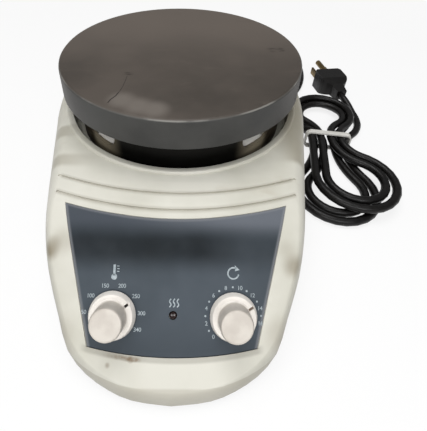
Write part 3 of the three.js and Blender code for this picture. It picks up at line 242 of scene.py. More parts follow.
PATH_POINTS = 3
HANK_STEPS = SOLID_STEPS * PATH_POINTS
hank_path = [hank_point(HANK_START + (HANK_END - HANK_START) * i / HANK_STEPS) for i in range(HANK_STEPS + 1)]
print("hank path:", len(hank_path), "points")

# %% [markdown]
# The hank's ends run straight for one diameter, so the free stretches join them without a kink. The whole
# lead is one open spline.

# %% The whole lead
SHORT_TURN = 0.002


def straight_end(end, near):
    """Points one diameter, and then another, straight on past the hank's end."""
    along = (end - near).normalized()
    return [end + along * CORD_DIAMETER, end + along * (2 * CORD_DIAMETER + SEAT_GAP)]


into_hank = straight_end(hank_path[-1], hank_point(HANK_END - SHORT_TURN))
out_of_hank = straight_end(hank_path[0], hank_point(HANK_START + SHORT_TURN))
plug_mouth = Vector(PLUG_PLACE)
plug_line = plug_mouth - Matrix.Rotation(PLUG_HEADING, 4, "Z") @ Vector((0, CORD_DIAMETER + SEAT_GAP, 0))
lead_path = smooth_through([BOOT_END, *LEAD_ROUTE, into_hank[1], into_hank[0]])
tail_path = smooth_through([*out_of_hank, *TAIL_ROUTE, plug_line, plug_mouth])
cord_path = [p * MM for p in [*lead_path, *reversed(hank_path), *tail_path]]

cord_curve = bpy.data.curves.new("mains_cord", "CURVE")
cord_curve.dimensions = "3D"
cord_curve.bevel_depth = 1
cord_curve.bevel_resolution = 5
cord_curve.use_fill_caps = True
spline = cord_curve.splines.new("POLY")
spline.points.add(len(cord_path) - 1)
for point, spot in zip(spline.points, cord_path):
    point.co = (*spot, 1)
    point.radius = CORD_RADIUS * MM
spline.use_smooth = True
mains_cord = show("mains_cord", cord_curve)
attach(mains_cord, "stirrer")
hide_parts("cord_lead", "cord_hank", "cord_tail")

# %% [markdown]
# ## Finishes
# Real surfaces are never one flat colour. Each finish here starts from the colour that the part has, lets it
# drift a little between a darker and a lighter tone, varies the gloss in the same way, and adds a fine bump
# of the right scale. Object coordinates are metres here, so a noise scale of 1000 has features of about 1 mm.

# %% Colours


def tone(red, green, blue):
    """A colour as a picture shows it, 0 to 255, turned into the linear value that shaders use."""
    linear = [(c / 255 / 12.92) if c / 255 <= 0.04045 else ((c / 255 + 0.055) / 1.055) ** 2.4
              for c in (red, green, blue)]
    return (*linear, 1)


print("cream is", [round(c, 3) for c in tone(215, 212, 200)])

# %% [markdown]
# Materials and the world are trees of nodes. A small class holds the ways to add a node, so that each finish
# below reads as what it does. A mix node has sockets for every kind of data; these are the ones for colour.

# %% Node helpers
MIX_UNDER = 6
MIX_OVER = 7
MIX_RESULT = 2


class NodeTree:
    """The nodes of a material or of the world, with short ways to add more."""

    def __init__(self, owner):
        owner.use_nodes = True
        self.nodes = owner.node_tree.nodes
        self.links = owner.node_tree.links

    def join(self, source, target):
        self.links.new(source, target)

    def put(self, source, target):
        """Joins a node's output to an input, or sets the input to a plain value."""
        if isinstance(source, bpy.types.NodeSocket):
            self.join(source, target)
        else:
            target.default_value = source

    def operate(self, kind, operation, first, second):
        node = self.nodes.new(kind)
        node.operation = operation
        self.put(first, node.inputs[0])
        self.put(second, node.inputs[1])
        return node.outputs["Value"]

    def maths(self, operation, first, second=0):
        return self.operate("ShaderNodeMath", operation, first, second)

    def vector_maths(self, operation, first, second=(0, 0, 0)):
        return self.operate("ShaderNodeVectorMath", operation, first, second)

    def chain(self, operation, first, *others):
        """Applies an operation to the first value and each of the others in turn."""
        for other in others:
            first = self.maths(operation, first, other)
        return first

    def times(self, *factors):
        return self.chain("MULTIPLY", *factors)

    def remap(self, value, low_in, high_in, low_out=0.0, high_out=1.0, ease="SMOOTHSTEP"):
        """The value carried from one range to another."""
        node = self.nodes.new("ShaderNodeMapRange")
        node.interpolation_type = ease
        for label, number in zip(("From Min", "From Max", "To Min", "To Max"),
                                 (low_in, high_in, low_out, high_out)):
            node.inputs[label].default_value = number
        self.join(value, node.inputs["Value"])
        return node.outputs["Result"]

    def blend(self, amount, under, over):
        """Colour under where amount is 0 and over where it is 1; each is a colour or a node's output."""
        node = self.nodes.new("ShaderNodeMix")
        node.data_type = "RGBA"
        self.join(amount, node.inputs["Factor"])
        self.put(under, node.inputs[MIX_UNDER])
        self.put(over, node.inputs[MIX_OVER])
        return node.outputs[MIX_RESULT]

    def rays(self, operation, *kinds):
        """Marks the rays of the named kinds with 1. The operation puts the marks together."""
        path = self.nodes.new("ShaderNodeLightPath")
        return self.chain(operation, *[path.outputs[f"Is {kind} Ray"] for kind in kinds])


print("node helpers ready")

# %% [markdown]
# A finish adds what depends on the place: noise, the axes, and soft shapes round a spot or along an arc.
# Noise mostly lies between 0.3 and 0.7, so that range is spread over the wanted one.

# %% Finish helpers
NOISE_SPREAD = (0.3, 0.7)


class Finish(NodeTree):
    """A material under construction: its shader, its coordinates and what depends on them."""

    def __init__(self, name, roughness, metallic=0.0, specular=0.5):
        self.material = bpy.data.materials.new(name)
        super().__init__(self.material)
        self.shader = self.nodes["Principled BSDF"]
        plain = {"Roughness": roughness, "Metallic": metallic, "Specular IOR Level": specular}
        for label, value in plain.items():
            self.shader.inputs[label].default_value = value
        self.where = self.nodes.new("ShaderNodeTexCoord").outputs["Object"]

    def stretched(self, x, y, z):
        """The coordinates stretched along the axes, for brushed and drawn marks."""
        node = self.nodes.new("ShaderNodeMapping")
        node.inputs["Scale"].default_value = (x, y, z)
        self.join(self.where, node.inputs["Vector"])
        return node.outputs["Vector"]

    def noise(self, scale, detail, where=None):
        node = self.nodes.new("ShaderNodeTexNoise")
        node.inputs["Scale"].default_value = scale
        node.inputs["Detail"].default_value = detail
        self.join(where or self.where, node.inputs["Vector"])
        return node.outputs["Fac"]

    def drift(self, scale, detail, low_out=0.0, high_out=1.0, where=None):
        """Noise spread over the given range."""
        return self.remap(self.noise(scale, detail, where), *NOISE_SPREAD, low_out, high_out)

    def fade(self, value, start, end, low_out=0.0, high_out=1.0):
        """A length carried to another range, with its start and end in millimetres."""
        return self.remap(value, start * MM, end * MM, low_out, high_out)

    def axis(self, letter):
        node = self.nodes.new("ShaderNodeSeparateXYZ")
        self.join(self.where, node.inputs["Vector"])
        return node.outputs[letter]

    def off_middle(self):
        """Distance to the left or right of the middle plane."""
        return self.maths("ABSOLUTE", self.axis("X"))

    def along(self, direction):
        """Distance from the origin measured along a direction."""
        return self.vector_maths("DOT_PRODUCT", self.where, direction)

    def near(self, spot, inner, outer):
        """1 close to a place in the frame, fading to 0 further off. Lengths are millimetres."""
        distance = self.vector_maths("DISTANCE", self.where, [c * MM for c in spot])
        return self.fade(distance, inner, outer, 1.0, 0.0)

    def dab(self, base, spots, colour, strength=1.0):
        """Lays a colour softly over the base at each (place, inner, outer)."""
        for spot in spots:
            base = self.blend(self.times(self.near(*spot), strength), base, colour)
        return base

    def arc_line(self, centre, radius, inner, outer):
        """1 on a circle seen from above, round a place on the middle plane, fading to 0 beside it."""
        distance = self.vector_maths("DISTANCE", self.stretched(1, 1, 0), (0, centre * MM, 0))
        off = self.maths("ABSOLUTE", self.maths("SUBTRACT", distance, radius * MM))
        return self.fade(off, inner, outer, 1.0, 0.0)

    def done(self, colour, gloss, grain, where=None):
        """The material. Gloss is (scale, detail, low, high) and grain is (scale, detail, depth)."""
        self.join(colour, self.shader.inputs["Base Color"])
        self.join(self.drift(*gloss, where=where), self.shader.inputs["Roughness"])
        *texture, depth = grain
        bump = self.nodes.new("ShaderNodeBump")
        bump.inputs["Distance"].default_value = depth * MM
        self.join(self.noise(*texture, where), bump.inputs["Height"])
        self.join(bump.outputs["Normal"], self.shader.inputs["Normal"])
        return self.material


print("noise is spread from", NOISE_SPREAD)

# %% [markdown]
# Most finishes follow one pattern, so one function makes them: two tones drifting into each other, a gloss
# that drifts with a finer noise, and a bump. The table then says what each one is on the real stirrer.

# %% Plain finishes


def even_finish(name, dark, light, roughness, metallic=0.0, drift=60, grain=2500, depth=0.02, stretch=None):
    look = Finish(name, roughness[0], metallic)
    where = look.stretched(*stretch) if stretch else None
    colour = look.blend(look.drift(drift, 4.0), tone(*dark), tone(*light))
    return look.done(colour, (grain, 2.0, *roughness), (grain, 2.0, depth), where)


FINISHES = {
    "lens_plastic": even_finish("dark lamp lens", (30, 20, 20), (52, 34, 32), (0.12, 0.2), drift=300),
    "bright_steel": even_finish("zinc plated steel", (150, 152, 152), (190, 191, 188), (0.25, 0.42), 1.0,
                                drift=180, grain=900, depth=0.01),
    "cast_aluminium": even_finish("rolled aluminium", (168, 169, 168), (200, 201, 199), (0.3, 0.5), 1.0,
                                  drift=70, grain=700, depth=0.01, stretch=(1, 14, 1)),
    "magnet_nickel": even_finish("nickel plated magnet", (150, 152, 150), (176, 176, 172), (0.2, 0.35), 1.0),
    "copper_wire": even_finish("enamelled copper winding", (120, 62, 28), (176, 100, 52), (0.3, 0.45), 0.8,
                               drift=200, grain=500, depth=0.25, stretch=(1, 1, 9)),
    "brass_metal": even_finish("dulled brass", (112, 94, 62), (146, 126, 88), (0.3, 0.46), 1.0,
                               drift=160, grain=1200, depth=0.01, stretch=(8, 1, 8)),
    "black_rubber": even_finish("black rubber", (24, 24, 25), (40, 40, 41), (0.62, 0.8), drift=120,
                                grain=2200, depth=0.03),
    "black_plastic": even_finish("black switch plastic", (26, 26, 28), (40, 40, 42), (0.36, 0.5), drift=140,
                                 grain=3000, depth=0.02),
    "tie_plastic": even_finish("pale tie", (206, 204, 198), (228, 226, 221), (0.42, 0.55), drift=200,
                               grain=1600, depth=0.03),
    "board_plastic": even_finish("green circuit board", (30, 84, 50), (48, 116, 70), (0.35, 0.5), drift=260,
                                 grain=900, depth=0.05, stretch=(6, 1, 1)),
    "ceramic": even_finish("lamp body", (222, 218, 208), (238, 234, 226), (0.5, 0.6), drift=200),
    "ceramic_fibre": even_finish("pressed fibre", (238, 234, 226), (250, 248, 242), (0.85, 0.95), drift=180,
                                 grain=1400, depth=0.2),
}
print("plain finishes:", len(FINISHES))

# %% [markdown]
# The knobs are moulded in a warm white plastic. The skirts near the panel are painted paler than the caps,
# a painted light that offsets the shade they sit in. The distance from the panel's plane tells the two apart.

# %% Knob plastic
PANEL_UPRIGHT = (0, -0.6471, 0.7624)
SKIRT_TOP = 97
SKIRT_FADE = 1.5


def knob_plastic():
    look = Finish("warm white knob plastic", 0.45)
    clouds = look.drift(140, 4.0)
    # The skirt is painted paler than the cap: painted light that offsets its shade.
    skirt_painted_light = look.blend(clouds, tone(242, 236, 228), tone(252, 247, 240))
    cap = look.blend(clouds, tone(206, 198, 188), tone(223, 216, 206))
    on_cap = look.fade(look.along(PANEL_UPRIGHT), SKIRT_TOP, SKIRT_TOP + SKIRT_FADE)
    return look.done(look.blend(on_cap, skirt_painted_light, cap), (3500, 2.0, 0.38, 0.5), (3500, 2.0, 0.01))


FINISHES["knob_plastic"] = knob_plastic()
print("the caps begin", SKIRT_TOP, "mm up the panel's upright")

# %% [markdown]
# The cream housing is textured moulded plastic. It has a fine even grain, slightly uneven yellowing, and the
# marks of a used bench tool: brown grime that gathers along the lower edge of the panel, a few spots, and
# some stains. Painted shade darkens the side walls, a spot beside the panel's right edge and bands on the
# deck's shoulders, where it stands for dark reflections on the left and the plate's shadow on the right. The
# grooves, the panel's foot and the lip under the front hold a soft shade, so a little of it is tinted in.

# %% Tones and marks of the housing
CREAM = (tone(206, 204, 191), tone(222, 220, 209))
YELLOWED = tone(182, 172, 152)
STAIN_AND_SHADE = tone(150, 141, 122)
DECK_SHADE = tone(152, 145, 126)
GROOVE_SHADE = tone(150, 144, 128)
FOOT_SHADE = tone(146, 142, 130)
LIP_SHADE = tone(160, 153, 136)
GRIME = tone(120, 96, 66)
GRIME_PATCHES = (0.35, 0.6)
GRIME_SPOTS = [((-17, -127, 14.5), 0.3, 1.7, 0.95), ((-26.4, -128.9, 13.5), 0.2, 1.5, 0.5)]
GRIME_RADIUS = 191.7
GRIME_START = (-31, -18)
GRIME_STOP = (-15, -12)
PANEL_FOOT_CENTRE = 64.1
PANEL_FOOT_RADIUS = 191.2
PANEL_FOOT_ENDS = (35, 39)
FRONT_ENDS = (-118, -112)
LIP_HEIGHT = 10.9
GROOVE_ARCS = [(95.77, 166.17), (104.55, 182.95)]
GROOVE_END = 56
DECK_HEIGHTS = (46, 53)
# Painted shade on the deck's shoulders: two bands of dark reflection on the left, the plate's shadow on the
# right.
DECK_SHADE_BANDS = [(-33, -30, -24, -21, -50, -66, 0.5), (-56, -52, -48, -44, -34, -64, 0.55),
              (-51, -46, 40, 60, 48, 62, 0.75)]
# Spots in one tone. The broad ones on both side walls and the one at x 48.5 beside the panel's right edge are
# painted shade; the three at the panel's left edge darken it brown, and the rest are stains.
STAINS_AND_SHADE_SPOTS = [
    ((-53.6, -94, 41.6), 0.5, 5.5, 0.95), ((-52, -91.5, 43.6), 0.5, 5, 0.6), ((-48, -91, 44.4), 1, 8, 0.35),
    ((51.5, -98, 39), 1, 7, 0.75), ((48.5, -92.6, 43.2), 0.5, 6, 0.25),
    ((-76, -40, 30), 6, 30, 0.35), ((76, -45, 30), 6, 30, 0.35),
    ((-49, -119, 18), 2, 13, 0.4), ((45, -118, 20), 2, 10, 0.35), ((50, -121, 14), 2, 10, 0.4),
]
print("marks on the housing:", len(GRIME_SPOTS) + len(STAINS_AND_SHADE_SPOTS) + len(DECK_SHADE_BANDS))

# %% Cream housing


def cream_housing():
    look = Finish("cream moulded plastic", 0.5)
    x, y, z = (look.axis(letter) for letter in "XYZ")
    off_middle = look.off_middle()
    at_front = look.fade(y, *FRONT_ENDS, 1.0, 0.0)
    base = look.blend(look.remap(look.noise(26, 4.0), 0.32, 0.68), *CREAM)
    streaks = look.noise(38, 5.0, look.stretched(1.0, 2.2, 0.35))
    base = look.blend(look.remap(streaks, 0.62, 0.8, 0.0, 0.35), base, YELLOWED)
    # Stains and painted shade, laid in the same tone.
    for *spot, strength in STAINS_AND_SHADE_SPOTS:
        base = look.dab(base, [spot], STAIN_AND_SHADE, strength)
    on_deck = look.fade(z, *DECK_HEIGHTS)
    # Painted shade in bands across the deck's shoulders.
    for start, full, fading, end, inside, outside, strength in DECK_SHADE_BANDS:
        rise = look.fade(y, start, full)
        fall = look.fade(y, fading, end, 1.0, 0.0)
        reach = look.fade(x, inside, outside, 0.0, strength)
        base = look.blend(look.times(rise, fall, reach, on_deck), base, DECK_SHADE)
    within = look.fade(off_middle, GROOVE_END - 2, GROOVE_END, 0.36, 0.0)
    for centre, radius in GROOVE_ARCS:
        groove = look.times(look.arc_line(centre, radius, 0.5, 2.0), within)
        base = look.blend(groove, base, GROOVE_SHADE)
    foot = look.times(look.arc_line(PANEL_FOOT_CENTRE, PANEL_FOOT_RADIUS, 0.5, 1.7),
                      look.fade(off_middle, *PANEL_FOOT_ENDS, 0.5, 0.0), at_front)
    base = look.blend(foot, base, FOOT_SHADE)
    lip = look.times(look.fade(z, LIP_HEIGHT - 0.2, LIP_HEIGHT + 0.2, 0.42, 0.0), at_front)
    base = look.blend(lip, base, LIP_SHADE)
    patchy = look.noise(420, 4.0)
    run = look.times(look.fade(x, *GRIME_START, 0.0, 0.75), look.fade(x, *GRIME_STOP, 1.0, 0.0))
    line = look.times(look.arc_line(PANEL_FOOT_CENTRE, GRIME_RADIUS, 0.2, 1.1), at_front, run,
                      look.remap(patchy, *GRIME_PATCHES, 0.35, 1.0))
    base = look.blend(line, base, GRIME)
    for *spot, strength in GRIME_SPOTS:
        base = look.dab(base, [spot], GRIME, look.remap(patchy, *GRIME_PATCHES, 0.5 * strength, strength))
    return look.done(base, (70, 3.0, 0.42, 0.58), (3200, 2.0, 0.02))


FINISHES["cream_plastic"] = cream_housing()
print("housing nodes:", len(FINISHES["cream_plastic"].node_tree.nodes))

# %% [markdown]
# The plate is aluminium with a dark ceramic coat. Its flat top has aged to a brownish grey with dark smears.
# A painted sheen makes the top paler towards the back, and painted highlight patches lie near its left front.
# Its side has stayed a cooler grey, with painted shade towards the left and right that stands for dark
# reflections. Height above the bench tells the top and the side apart.

# %% Plate coat
PLATE_TOP = 85
RIM_DEPTH = 0.9
BARE_RIM = (-1.1, -0.7, -0.5, -0.15)
# Painted shade on the plate's side, between these distances off the middle.
FLANK_SHADE_ENDS = (38, 64)
# Painted highlight patches near the plate's left front.
HIGHLIGHT_PATCHES = [((-26, -42, 85), 2, 9), ((-18, -46.5, 85), 2, 9), ((-10, -49, 85), 2, 9)]
DARK_SMEARS = [((52, 13, 85), 0.4, 4.5), ((57, 13.2, 85), 0.3, 3.5), ((-26.4, -18.5, 85), 0.3, 3.6)]


def plate_coat():
    look = Finish("dark ceramic plate coat", 0.46, 0.0, 0.4)
    height = look.axis("Z")
    top = look.blend(look.drift(22, 5.0), tone(64, 58, 52), tone(82, 74, 67))
    # Painted sheen: the top grows paler towards the back.
    sheen = look.fade(look.axis("Y"), -22, 48, 0.0, 0.8)
    top = look.blend(sheen, top, tone(102, 93, 85))
    smudges = look.noise(60, 6.0, look.stretched(1.0, 2.6, 1.0))
    top = look.blend(look.remap(smudges, 0.58, 0.75, 0.0, 0.4), top, tone(90, 81, 73))
    # Painted highlight patches on the top.
    top = look.dab(top, HIGHLIGHT_PATCHES, tone(108, 101, 94))
    side = look.blend(look.drift(45, 4.0), tone(58, 58, 57), tone(72, 72, 70))
    # Painted shade: the side darkens towards its left and right, standing for dark reflections.
    side = look.blend(look.fade(look.off_middle(), *FLANK_SHADE_ENDS), side, tone(46, 40, 33))
    colour = look.blend(look.fade(height, PLATE_TOP - RIM_DEPTH, PLATE_TOP - 0.1), side, top)
    foot, low, high, head = (PLATE_TOP + rise for rise in BARE_RIM)
    bare = look.times(look.fade(height, foot, low), look.fade(height, high, head, 1.0, 0.0),
                      look.remap(look.noise(55, 4.0), 0.42, 0.6, 0.15, 0.75))
    colour = look.blend(bare, colour, tone(150, 148, 142))
    streaks = look.noise(500, 3.0, look.stretched(0.3, 2.0, 1.0))
    colour = look.dab(colour, DARK_SMEARS, tone(46, 38, 33), look.remap(streaks, 0.45, 0.6))
    return look.done(colour, (22, 5.0, 0.42, 0.54), (1500, 3.0, 0.02))


FINISHES["plate_enamel"] = plate_coat()
print("the rim's tone changes over", RIM_DEPTH, "mm")

# %% [markdown]
# The drum and the base pan are sheet steel with a satin black coat, and heat has browned the coat a little.
# The drum's own tones are painted light and shade: black across its middle, where the plate's shadow falls,
# pale at the sides as a painted light that stands for the cream tub beside it, and brown further out as
# painted shade for the wall of the recess.

# %% Dark steel
# Where the drum's painted shade gives way to painted light, and that to the brown painted shade of the
# flanks.
DRUM_MIDDLE = (28, 40)
DRUM_FLANKS = (43, 48)


def dark_steel():
    look = Finish("satin black steel", 0.45, 0.0, 0.3)
    coat = look.blend(look.drift(48, 4.0), tone(12, 11, 10), tone(24, 21, 19))
    heat = look.remap(look.noise(90, 5.0, look.stretched(1, 1, 0.4)), 0.55, 0.75, 0.0, 0.6)
    coat = look.blend(heat, coat, tone(46, 38, 31))
    return look.done(coat, (300, 3.0, 0.34, 0.52), (2200, 2.0, 0.02))


def drum_steel():
    look = Finish("drum with painted light and shade", 0.5, 0.0, 0.2)
    clouds = look.drift(48, 4.0)
    # Painted shade: black across the middle, where the plate's shadow falls. Painted light: the pale tone at
    # the sides stands for the cream tub.
    painted_shade = look.blend(clouds, tone(5, 4, 3), tone(10, 9, 7))
    faded = look.blend(clouds, tone(134, 125, 106), tone(152, 143, 123))
    flank_shade = look.blend(clouds, tone(48, 41, 32), tone(64, 56, 44))
    off_middle = look.off_middle()
    # Painted shade in the middle, painted light at the sides and painted shade again, brown, on the flanks.
    coat = look.blend(look.fade(off_middle, *DRUM_MIDDLE), painted_shade, faded)
    coat = look.blend(look.fade(off_middle, *DRUM_FLANKS), coat, flank_shade)
    return look.done(coat, (300, 3.0, 0.42, 0.56), (2200, 2.0, 0.02))


FINISHES["dark_steel"] = dark_steel()
drum_finish = drum_steel()
print("soot on the drum ends", DRUM_MIDDLE[0], "mm from its middle")

# %% [markdown]
# The control overlay is a printed film in slate blue. Painted reflections lie over it: a soft dark band
# across it where the slope bends, and a paler strip above that, lighter to the right. The bands follow the
# slope, so they depend on the distance from the front. A little painted shade lies at its foot, and its edges
# carry thin painted highlights at the sides and at the head.

# %% Overlay film
BAND_EDGES = [(-102, -93.5, 0.0, 1.0), (-90.5, -82, 1.0, 0.0)]
FOOT_SHADE_ENDS = (-130, -108)
SIDE_LEAN = 0.2994
SIDE_REACH = 72.13
HEAD_ARC = (109.7, 192)


def overlay_film():
    look = Finish("slate printed film", 0.55, 0.0, 0.16)
    clouds = look.drift(30, 4.0)
    along = look.axis("Y")
    rightward = look.fade(look.axis("X"), -30, 34)
    slate = look.blend(clouds, tone(70, 78, 85), tone(80, 88, 96))
    # The paler strip is a painted reflection, lighter to the right.
    top = look.blend(rightward, tone(72, 78, 86), tone(104, 109, 117))
    # The dark band's tone is a painted reflection.
    dark = look.blend(clouds, tone(20, 26, 30), tone(30, 36, 41))
    sheen = look.blend(look.fade(along, -90, -83), slate, top)
    foot, head = (look.fade(along, *ends) for ends in BAND_EDGES)
    to_the_right = look.fade(look.axis("X"), 8, 38, 1.0, 0.55)
    patchy = look.remap(look.noise(34, 3.0), 0.35, 0.65, 0.84, 1.0)
    # The band of painted reflection weakens to the right.
    band = look.times(foot, head, to_the_right, patchy)
    foot_shade = look.fade(along, *FOOT_SHADE_ENDS, 0.28, 0.0)
    film_and_reflection_tone = look.blend(look.maths("MAXIMUM", band, foot_shade), sheen, dark)
    # Thin painted highlights along the side edges and the head.
    outward = look.maths("SUBTRACT", look.off_middle(), look.times(along, SIDE_LEAN))
    side_highlight = look.fade(outward, SIDE_REACH - 1.5, SIDE_REACH - 0.5, 0.0, 0.6)
    head_highlight = look.times(look.arc_line(*HEAD_ARC, 0.3, 1.3), 0.5)
    colour = look.blend(look.maths("MAXIMUM", side_highlight, head_highlight), film_and_reflection_tone, tone(134, 136, 140))
    return look.done(colour, (160, 3.0, 0.5, 0.6), (2800, 2.0, 0.01))


FINISHES["overlay_film"] = overlay_film()
print("edges of the dark band:", [ends[:2] for ends in BAND_EDGES])

# %% [markdown]
# The cord's jacket is smooth flexible plastic: almost black, quite glossy, with fine lengthwise marks.

# %% Cord jacket


def cord_jacket():
    look = Finish("black cord jacket", 0.32, 0.0, 0.32)
    colour = look.blend(look.drift(110, 3.0), tone(7, 6, 6), tone(15, 13, 12))
    return look.done(colour, (500, 3.0, 0.3, 0.46), (1600, 3.0, 0.03))


def give_finish(thing, material):
    """Makes material the only finish of a piece."""
    slots = thing.data.materials
    slots.clear()
    slots.append(material)


FINISHES["cord_plastic"] = cord_jacket()
give_finish(mains_cord, FINISHES["cord_plastic"])
slot_of = {entry["node"]: entry["material_slot"] for entry in frame["record"]["subparts"]}
for node, slot in slot_of.items():
    give_finish(frame["nodes"][node], FINISHES[slot])
shield_white = even_finish("pale heat shield", (238, 236, 232), (250, 249, 247), (0.35, 0.5), drift=60,
                           grain=700, depth=0.01)
give_finish(frame["nodes"]["heat_shield"], shield_white)
give_finish(frame["nodes"]["support_drum"], drum_finish)
print("finishes given to", len(slot_of), "solids")

# %% [markdown]
# The housing's front is three straight slopes and a flat deck, joined by soft bends, and the film follows it.
# Its steepness changes evenly over each bend, which makes the bend a parabola.

# %% Slope of the front
TIP_Y = -140
SLOPE_CORNERS = [(2.5, 10.5, 0), (13, 14, 3), (56, 50.5, 9), (74, 54.5, 9)]
SLOPES = [(b[1] - a[1]) / (b[0] - a[0]) for a, b in zip(SLOPE_CORNERS, SLOPE_CORNERS[1:])] + [0]


def front_slope(y):
    """Steepness of the housing's front at a place along Y, in millimetres."""
    steepness = SLOPES[0]
    for i, (place, _, blend) in enumerate(SLOPE_CORNERS[1:], 1):
        past = min(1, max(0, (y - TIP_Y - place + blend) / (2 * blend)))
        steepness += (SLOPES[i] - SLOPES[i - 1]) * past
    return steepness


print("slopes:", [round(steepness, 3) for steepness in SLOPES])

# %% [markdown]
# The film bends softly over the top of the slope. Its solid has flat strips there, so the shown film is the
# same mesh with the surface's true direction at each corner, which shades it as one smooth sheet.

# %% Panel film
FACING_UP = 0.4


def stand_in(node, name):
    """A copy of a solid, with a mesh of its own, that can take the solid's place."""
    solid = frame["nodes"][node]
    double = solid.copy()
    double.data = solid.data.copy()
    double.name = name
    bpy.context.scene.collection.objects.link(double)
    double.parent = None
    double.matrix_world = solid.matrix_world.copy()
    return double


def shade_smooth(mesh):
    mesh.polygons.foreach_set("use_smooth", [True] * len(mesh.polygons))


panel_film = stand_in("control_overlay", "panel_film")
film_mesh = panel_film.data
shade_smooth(film_mesh)
directions = []
for face in film_mesh.polygons:
    for corner in face.loop_indices:
        spot = film_mesh.vertices[film_mesh.loops[corner].vertex_index].co
        upright = Vector((0, -front_slope(spot.y / MM), 1)).normalized()
        directions.append(upright if face.normal.z > FACING_UP else face.normal.copy())
film_mesh.normals_split_custom_set(directions)
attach(panel_film, "stirrer")
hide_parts("control_overlay")
print("film faces:", len(film_mesh.polygons))

# %% [markdown]
# The solids have flat faces, so each round or moulded piece that shows is stood for by a copy of itself. The
# copy is welded and shaded smooth between its edges, and its larger faces count for more in the shading.

# %% Smooth skins
SKINS = [
    "upper_housing", "top_plate", "support_drum", "temp_knob", "speed_knob", "indicator_lens", "rod_socket",
    "fuse_holder", "fuse_cap", "base_pan", "foot_front_left", "foot_front_right", "foot_rear_left",
    "foot_rear_right",
]
MOVING_SKINS = {"temp_knob": "temp_control", "speed_knob": "speed_control", "fuse_cap": "fuse_carrier"}
SKIN_EDGE = math.radians(33)
WELD_GAP = 0.001


def smooth_skin(node, body):
    """A welded, smoothly shaded copy of a solid that stands for it."""
    skin = stand_in(node, node + "_skin")
    shape = skin.data
    welded = bmesh.new()
    welded.from_mesh(shape)
    bmesh.ops.remove_doubles(welded, verts=welded.verts, dist=WELD_GAP * MM)
    welded.to_mesh(shape)
    welded.free()
    for layer in [layer for layer in shape.attributes if layer.name == "custom_normal"]:
        shape.attributes.remove(layer)
    shade_smooth(shape)
    shape.set_sharp_from_angle(angle=SKIN_EDGE)
    weighted = skin.modifiers.new("weighted normals", "WEIGHTED_NORMAL")
    weighted.keep_sharp = True
    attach(skin, body)
    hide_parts(node)
    return skin


skins = [smooth_skin(node, MOVING_SKINS.get(node, "stirrer")) for node in SKINS]
print("smooth skins:", len(skins))

# %% [markdown]
# A pressed fibre liner lies on the heat shield inside the drum. It rises to a shelf level with the window
# sills, so it's the pale surface that shows through the windows. The three standoffs pass through it.

# %% Drum liner
LINER_STEPS = 96
LINER_OUTLINE = [(36, 0.2), (58.8, 0.2), (58.8, 8.4), (58.2, 8.8), (47, 8.8), (43, 7.6), (36, 1.2)]
LINER_EDGE = math.radians(35)
shield_low, shield_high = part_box("heat_shield")
liner_middle = Vector([(a + b) / 2 for a, b in zip(shield_low, shield_high)])
liner_middle.z = shield_high[2]
liner_spots = []
liner_faces = []
rim_points = len(LINER_OUTLINE)
for i in range(LINER_STEPS):
    turn = i / LINER_STEPS * 2 * math.pi
    for radius, rise in LINER_OUTLINE:
        step = Vector((radius * math.cos(turn), radius * math.sin(turn), rise))
        liner_spots.append(liner_middle + step * MM)
    here, there = i * rim_points, (i + 1) % LINER_STEPS * rim_points
    for j in range(rim_points):
        k = (j + 1) % rim_points
        liner_faces.append((here + j, there + j, there + k, here + k))
liner_mesh = bpy.data.meshes.new("drum_liner")
liner_mesh.from_pydata(liner_spots, [], liner_faces)
shade_smooth(liner_mesh)
liner_mesh.set_sharp_from_angle(angle=LINER_EDGE)
drum_liner = show("drum_liner", liner_mesh)
give_finish(drum_liner, even_finish("pale pressed fibre", (232, 228, 220), (246, 243, 237), (0.8, 0.95),
                                    drift=120, grain=1400, depth=0.06))
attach(drum_liner, "stirrer")
print("liner faces:", len(liner_faces))

# %% [markdown]
# The plug body is a soft moulding. A bevel on a copy of its solid rounds every edge by the same amount, which
# is more even than rounding by hand, and the copy takes the solid's place.

# %% Plug moulding
PLUG_ROUNDING = 1.1
PLUG_EDGE = math.radians(28)
plug_moulding = stand_in("plug_body", "plug_moulding")
plug_edges = plug_moulding.modifiers.new("soft edges", "BEVEL")
plug_edges.width = PLUG_ROUNDING * MM
plug_edges.segments = 3
plug_edges.limit_method = "ANGLE"
plug_edges.angle_limit = PLUG_EDGE
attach(plug_moulding, "stirrer")
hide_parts("plug_body")
print("plug faces before rounding:", len(plug_moulding.data.polygons))

# %% [markdown]
# ## Printed dials
# The print is laid out in the panel's own plane, in millimetres, with x across and y up the slope, and then
# carried to the film. Each mark is a thin closed solid, so it stays clean in the exported meshes.

# %% Panel plane
PANEL_TILT = math.atan(SLOPES[1])
PANEL_ORIGIN = Vector((0, -113.5, 25.459))
PRINT_LIFT = 0.05
PRINT_THICKNESS = 0.05
to_panel = Matrix.Scale(MM, 4) @ Matrix.Translation(PANEL_ORIGIN) @ Matrix.Rotation(PANEL_TILT, 4, "X")
KNOB_X = {"temp": -25.3, "speed": 25.3}


def link_mesh(name, sketch):
    """Turns a bmesh drawn in the panel's plane into a piece of the object."""
    bmesh.ops.recalc_face_normals(sketch, faces=sketch.faces)
    mesh = bpy.data.meshes.new(name)
    sketch.to_mesh(mesh)
    sketch.free()
    return show(name, mesh)


def add_plate(sketch, outline):
    """A thin closed plate with the given outline of (x, y) corners, lying on the film."""
    lower = [sketch.verts.new((x, y, PRINT_LIFT)) for x, y in outline]
    upper = [sketch.verts.new((x, y, PRINT_LIFT + PRINT_THICKNESS)) for x, y in outline]
    sketch.faces.new(lower)
    sketch.faces.new(upper)
    for i, corner in enumerate(lower):
        j = (i + 1) % len(lower)
        sketch.faces.new((corner, lower[j], upper[j], upper[i]))


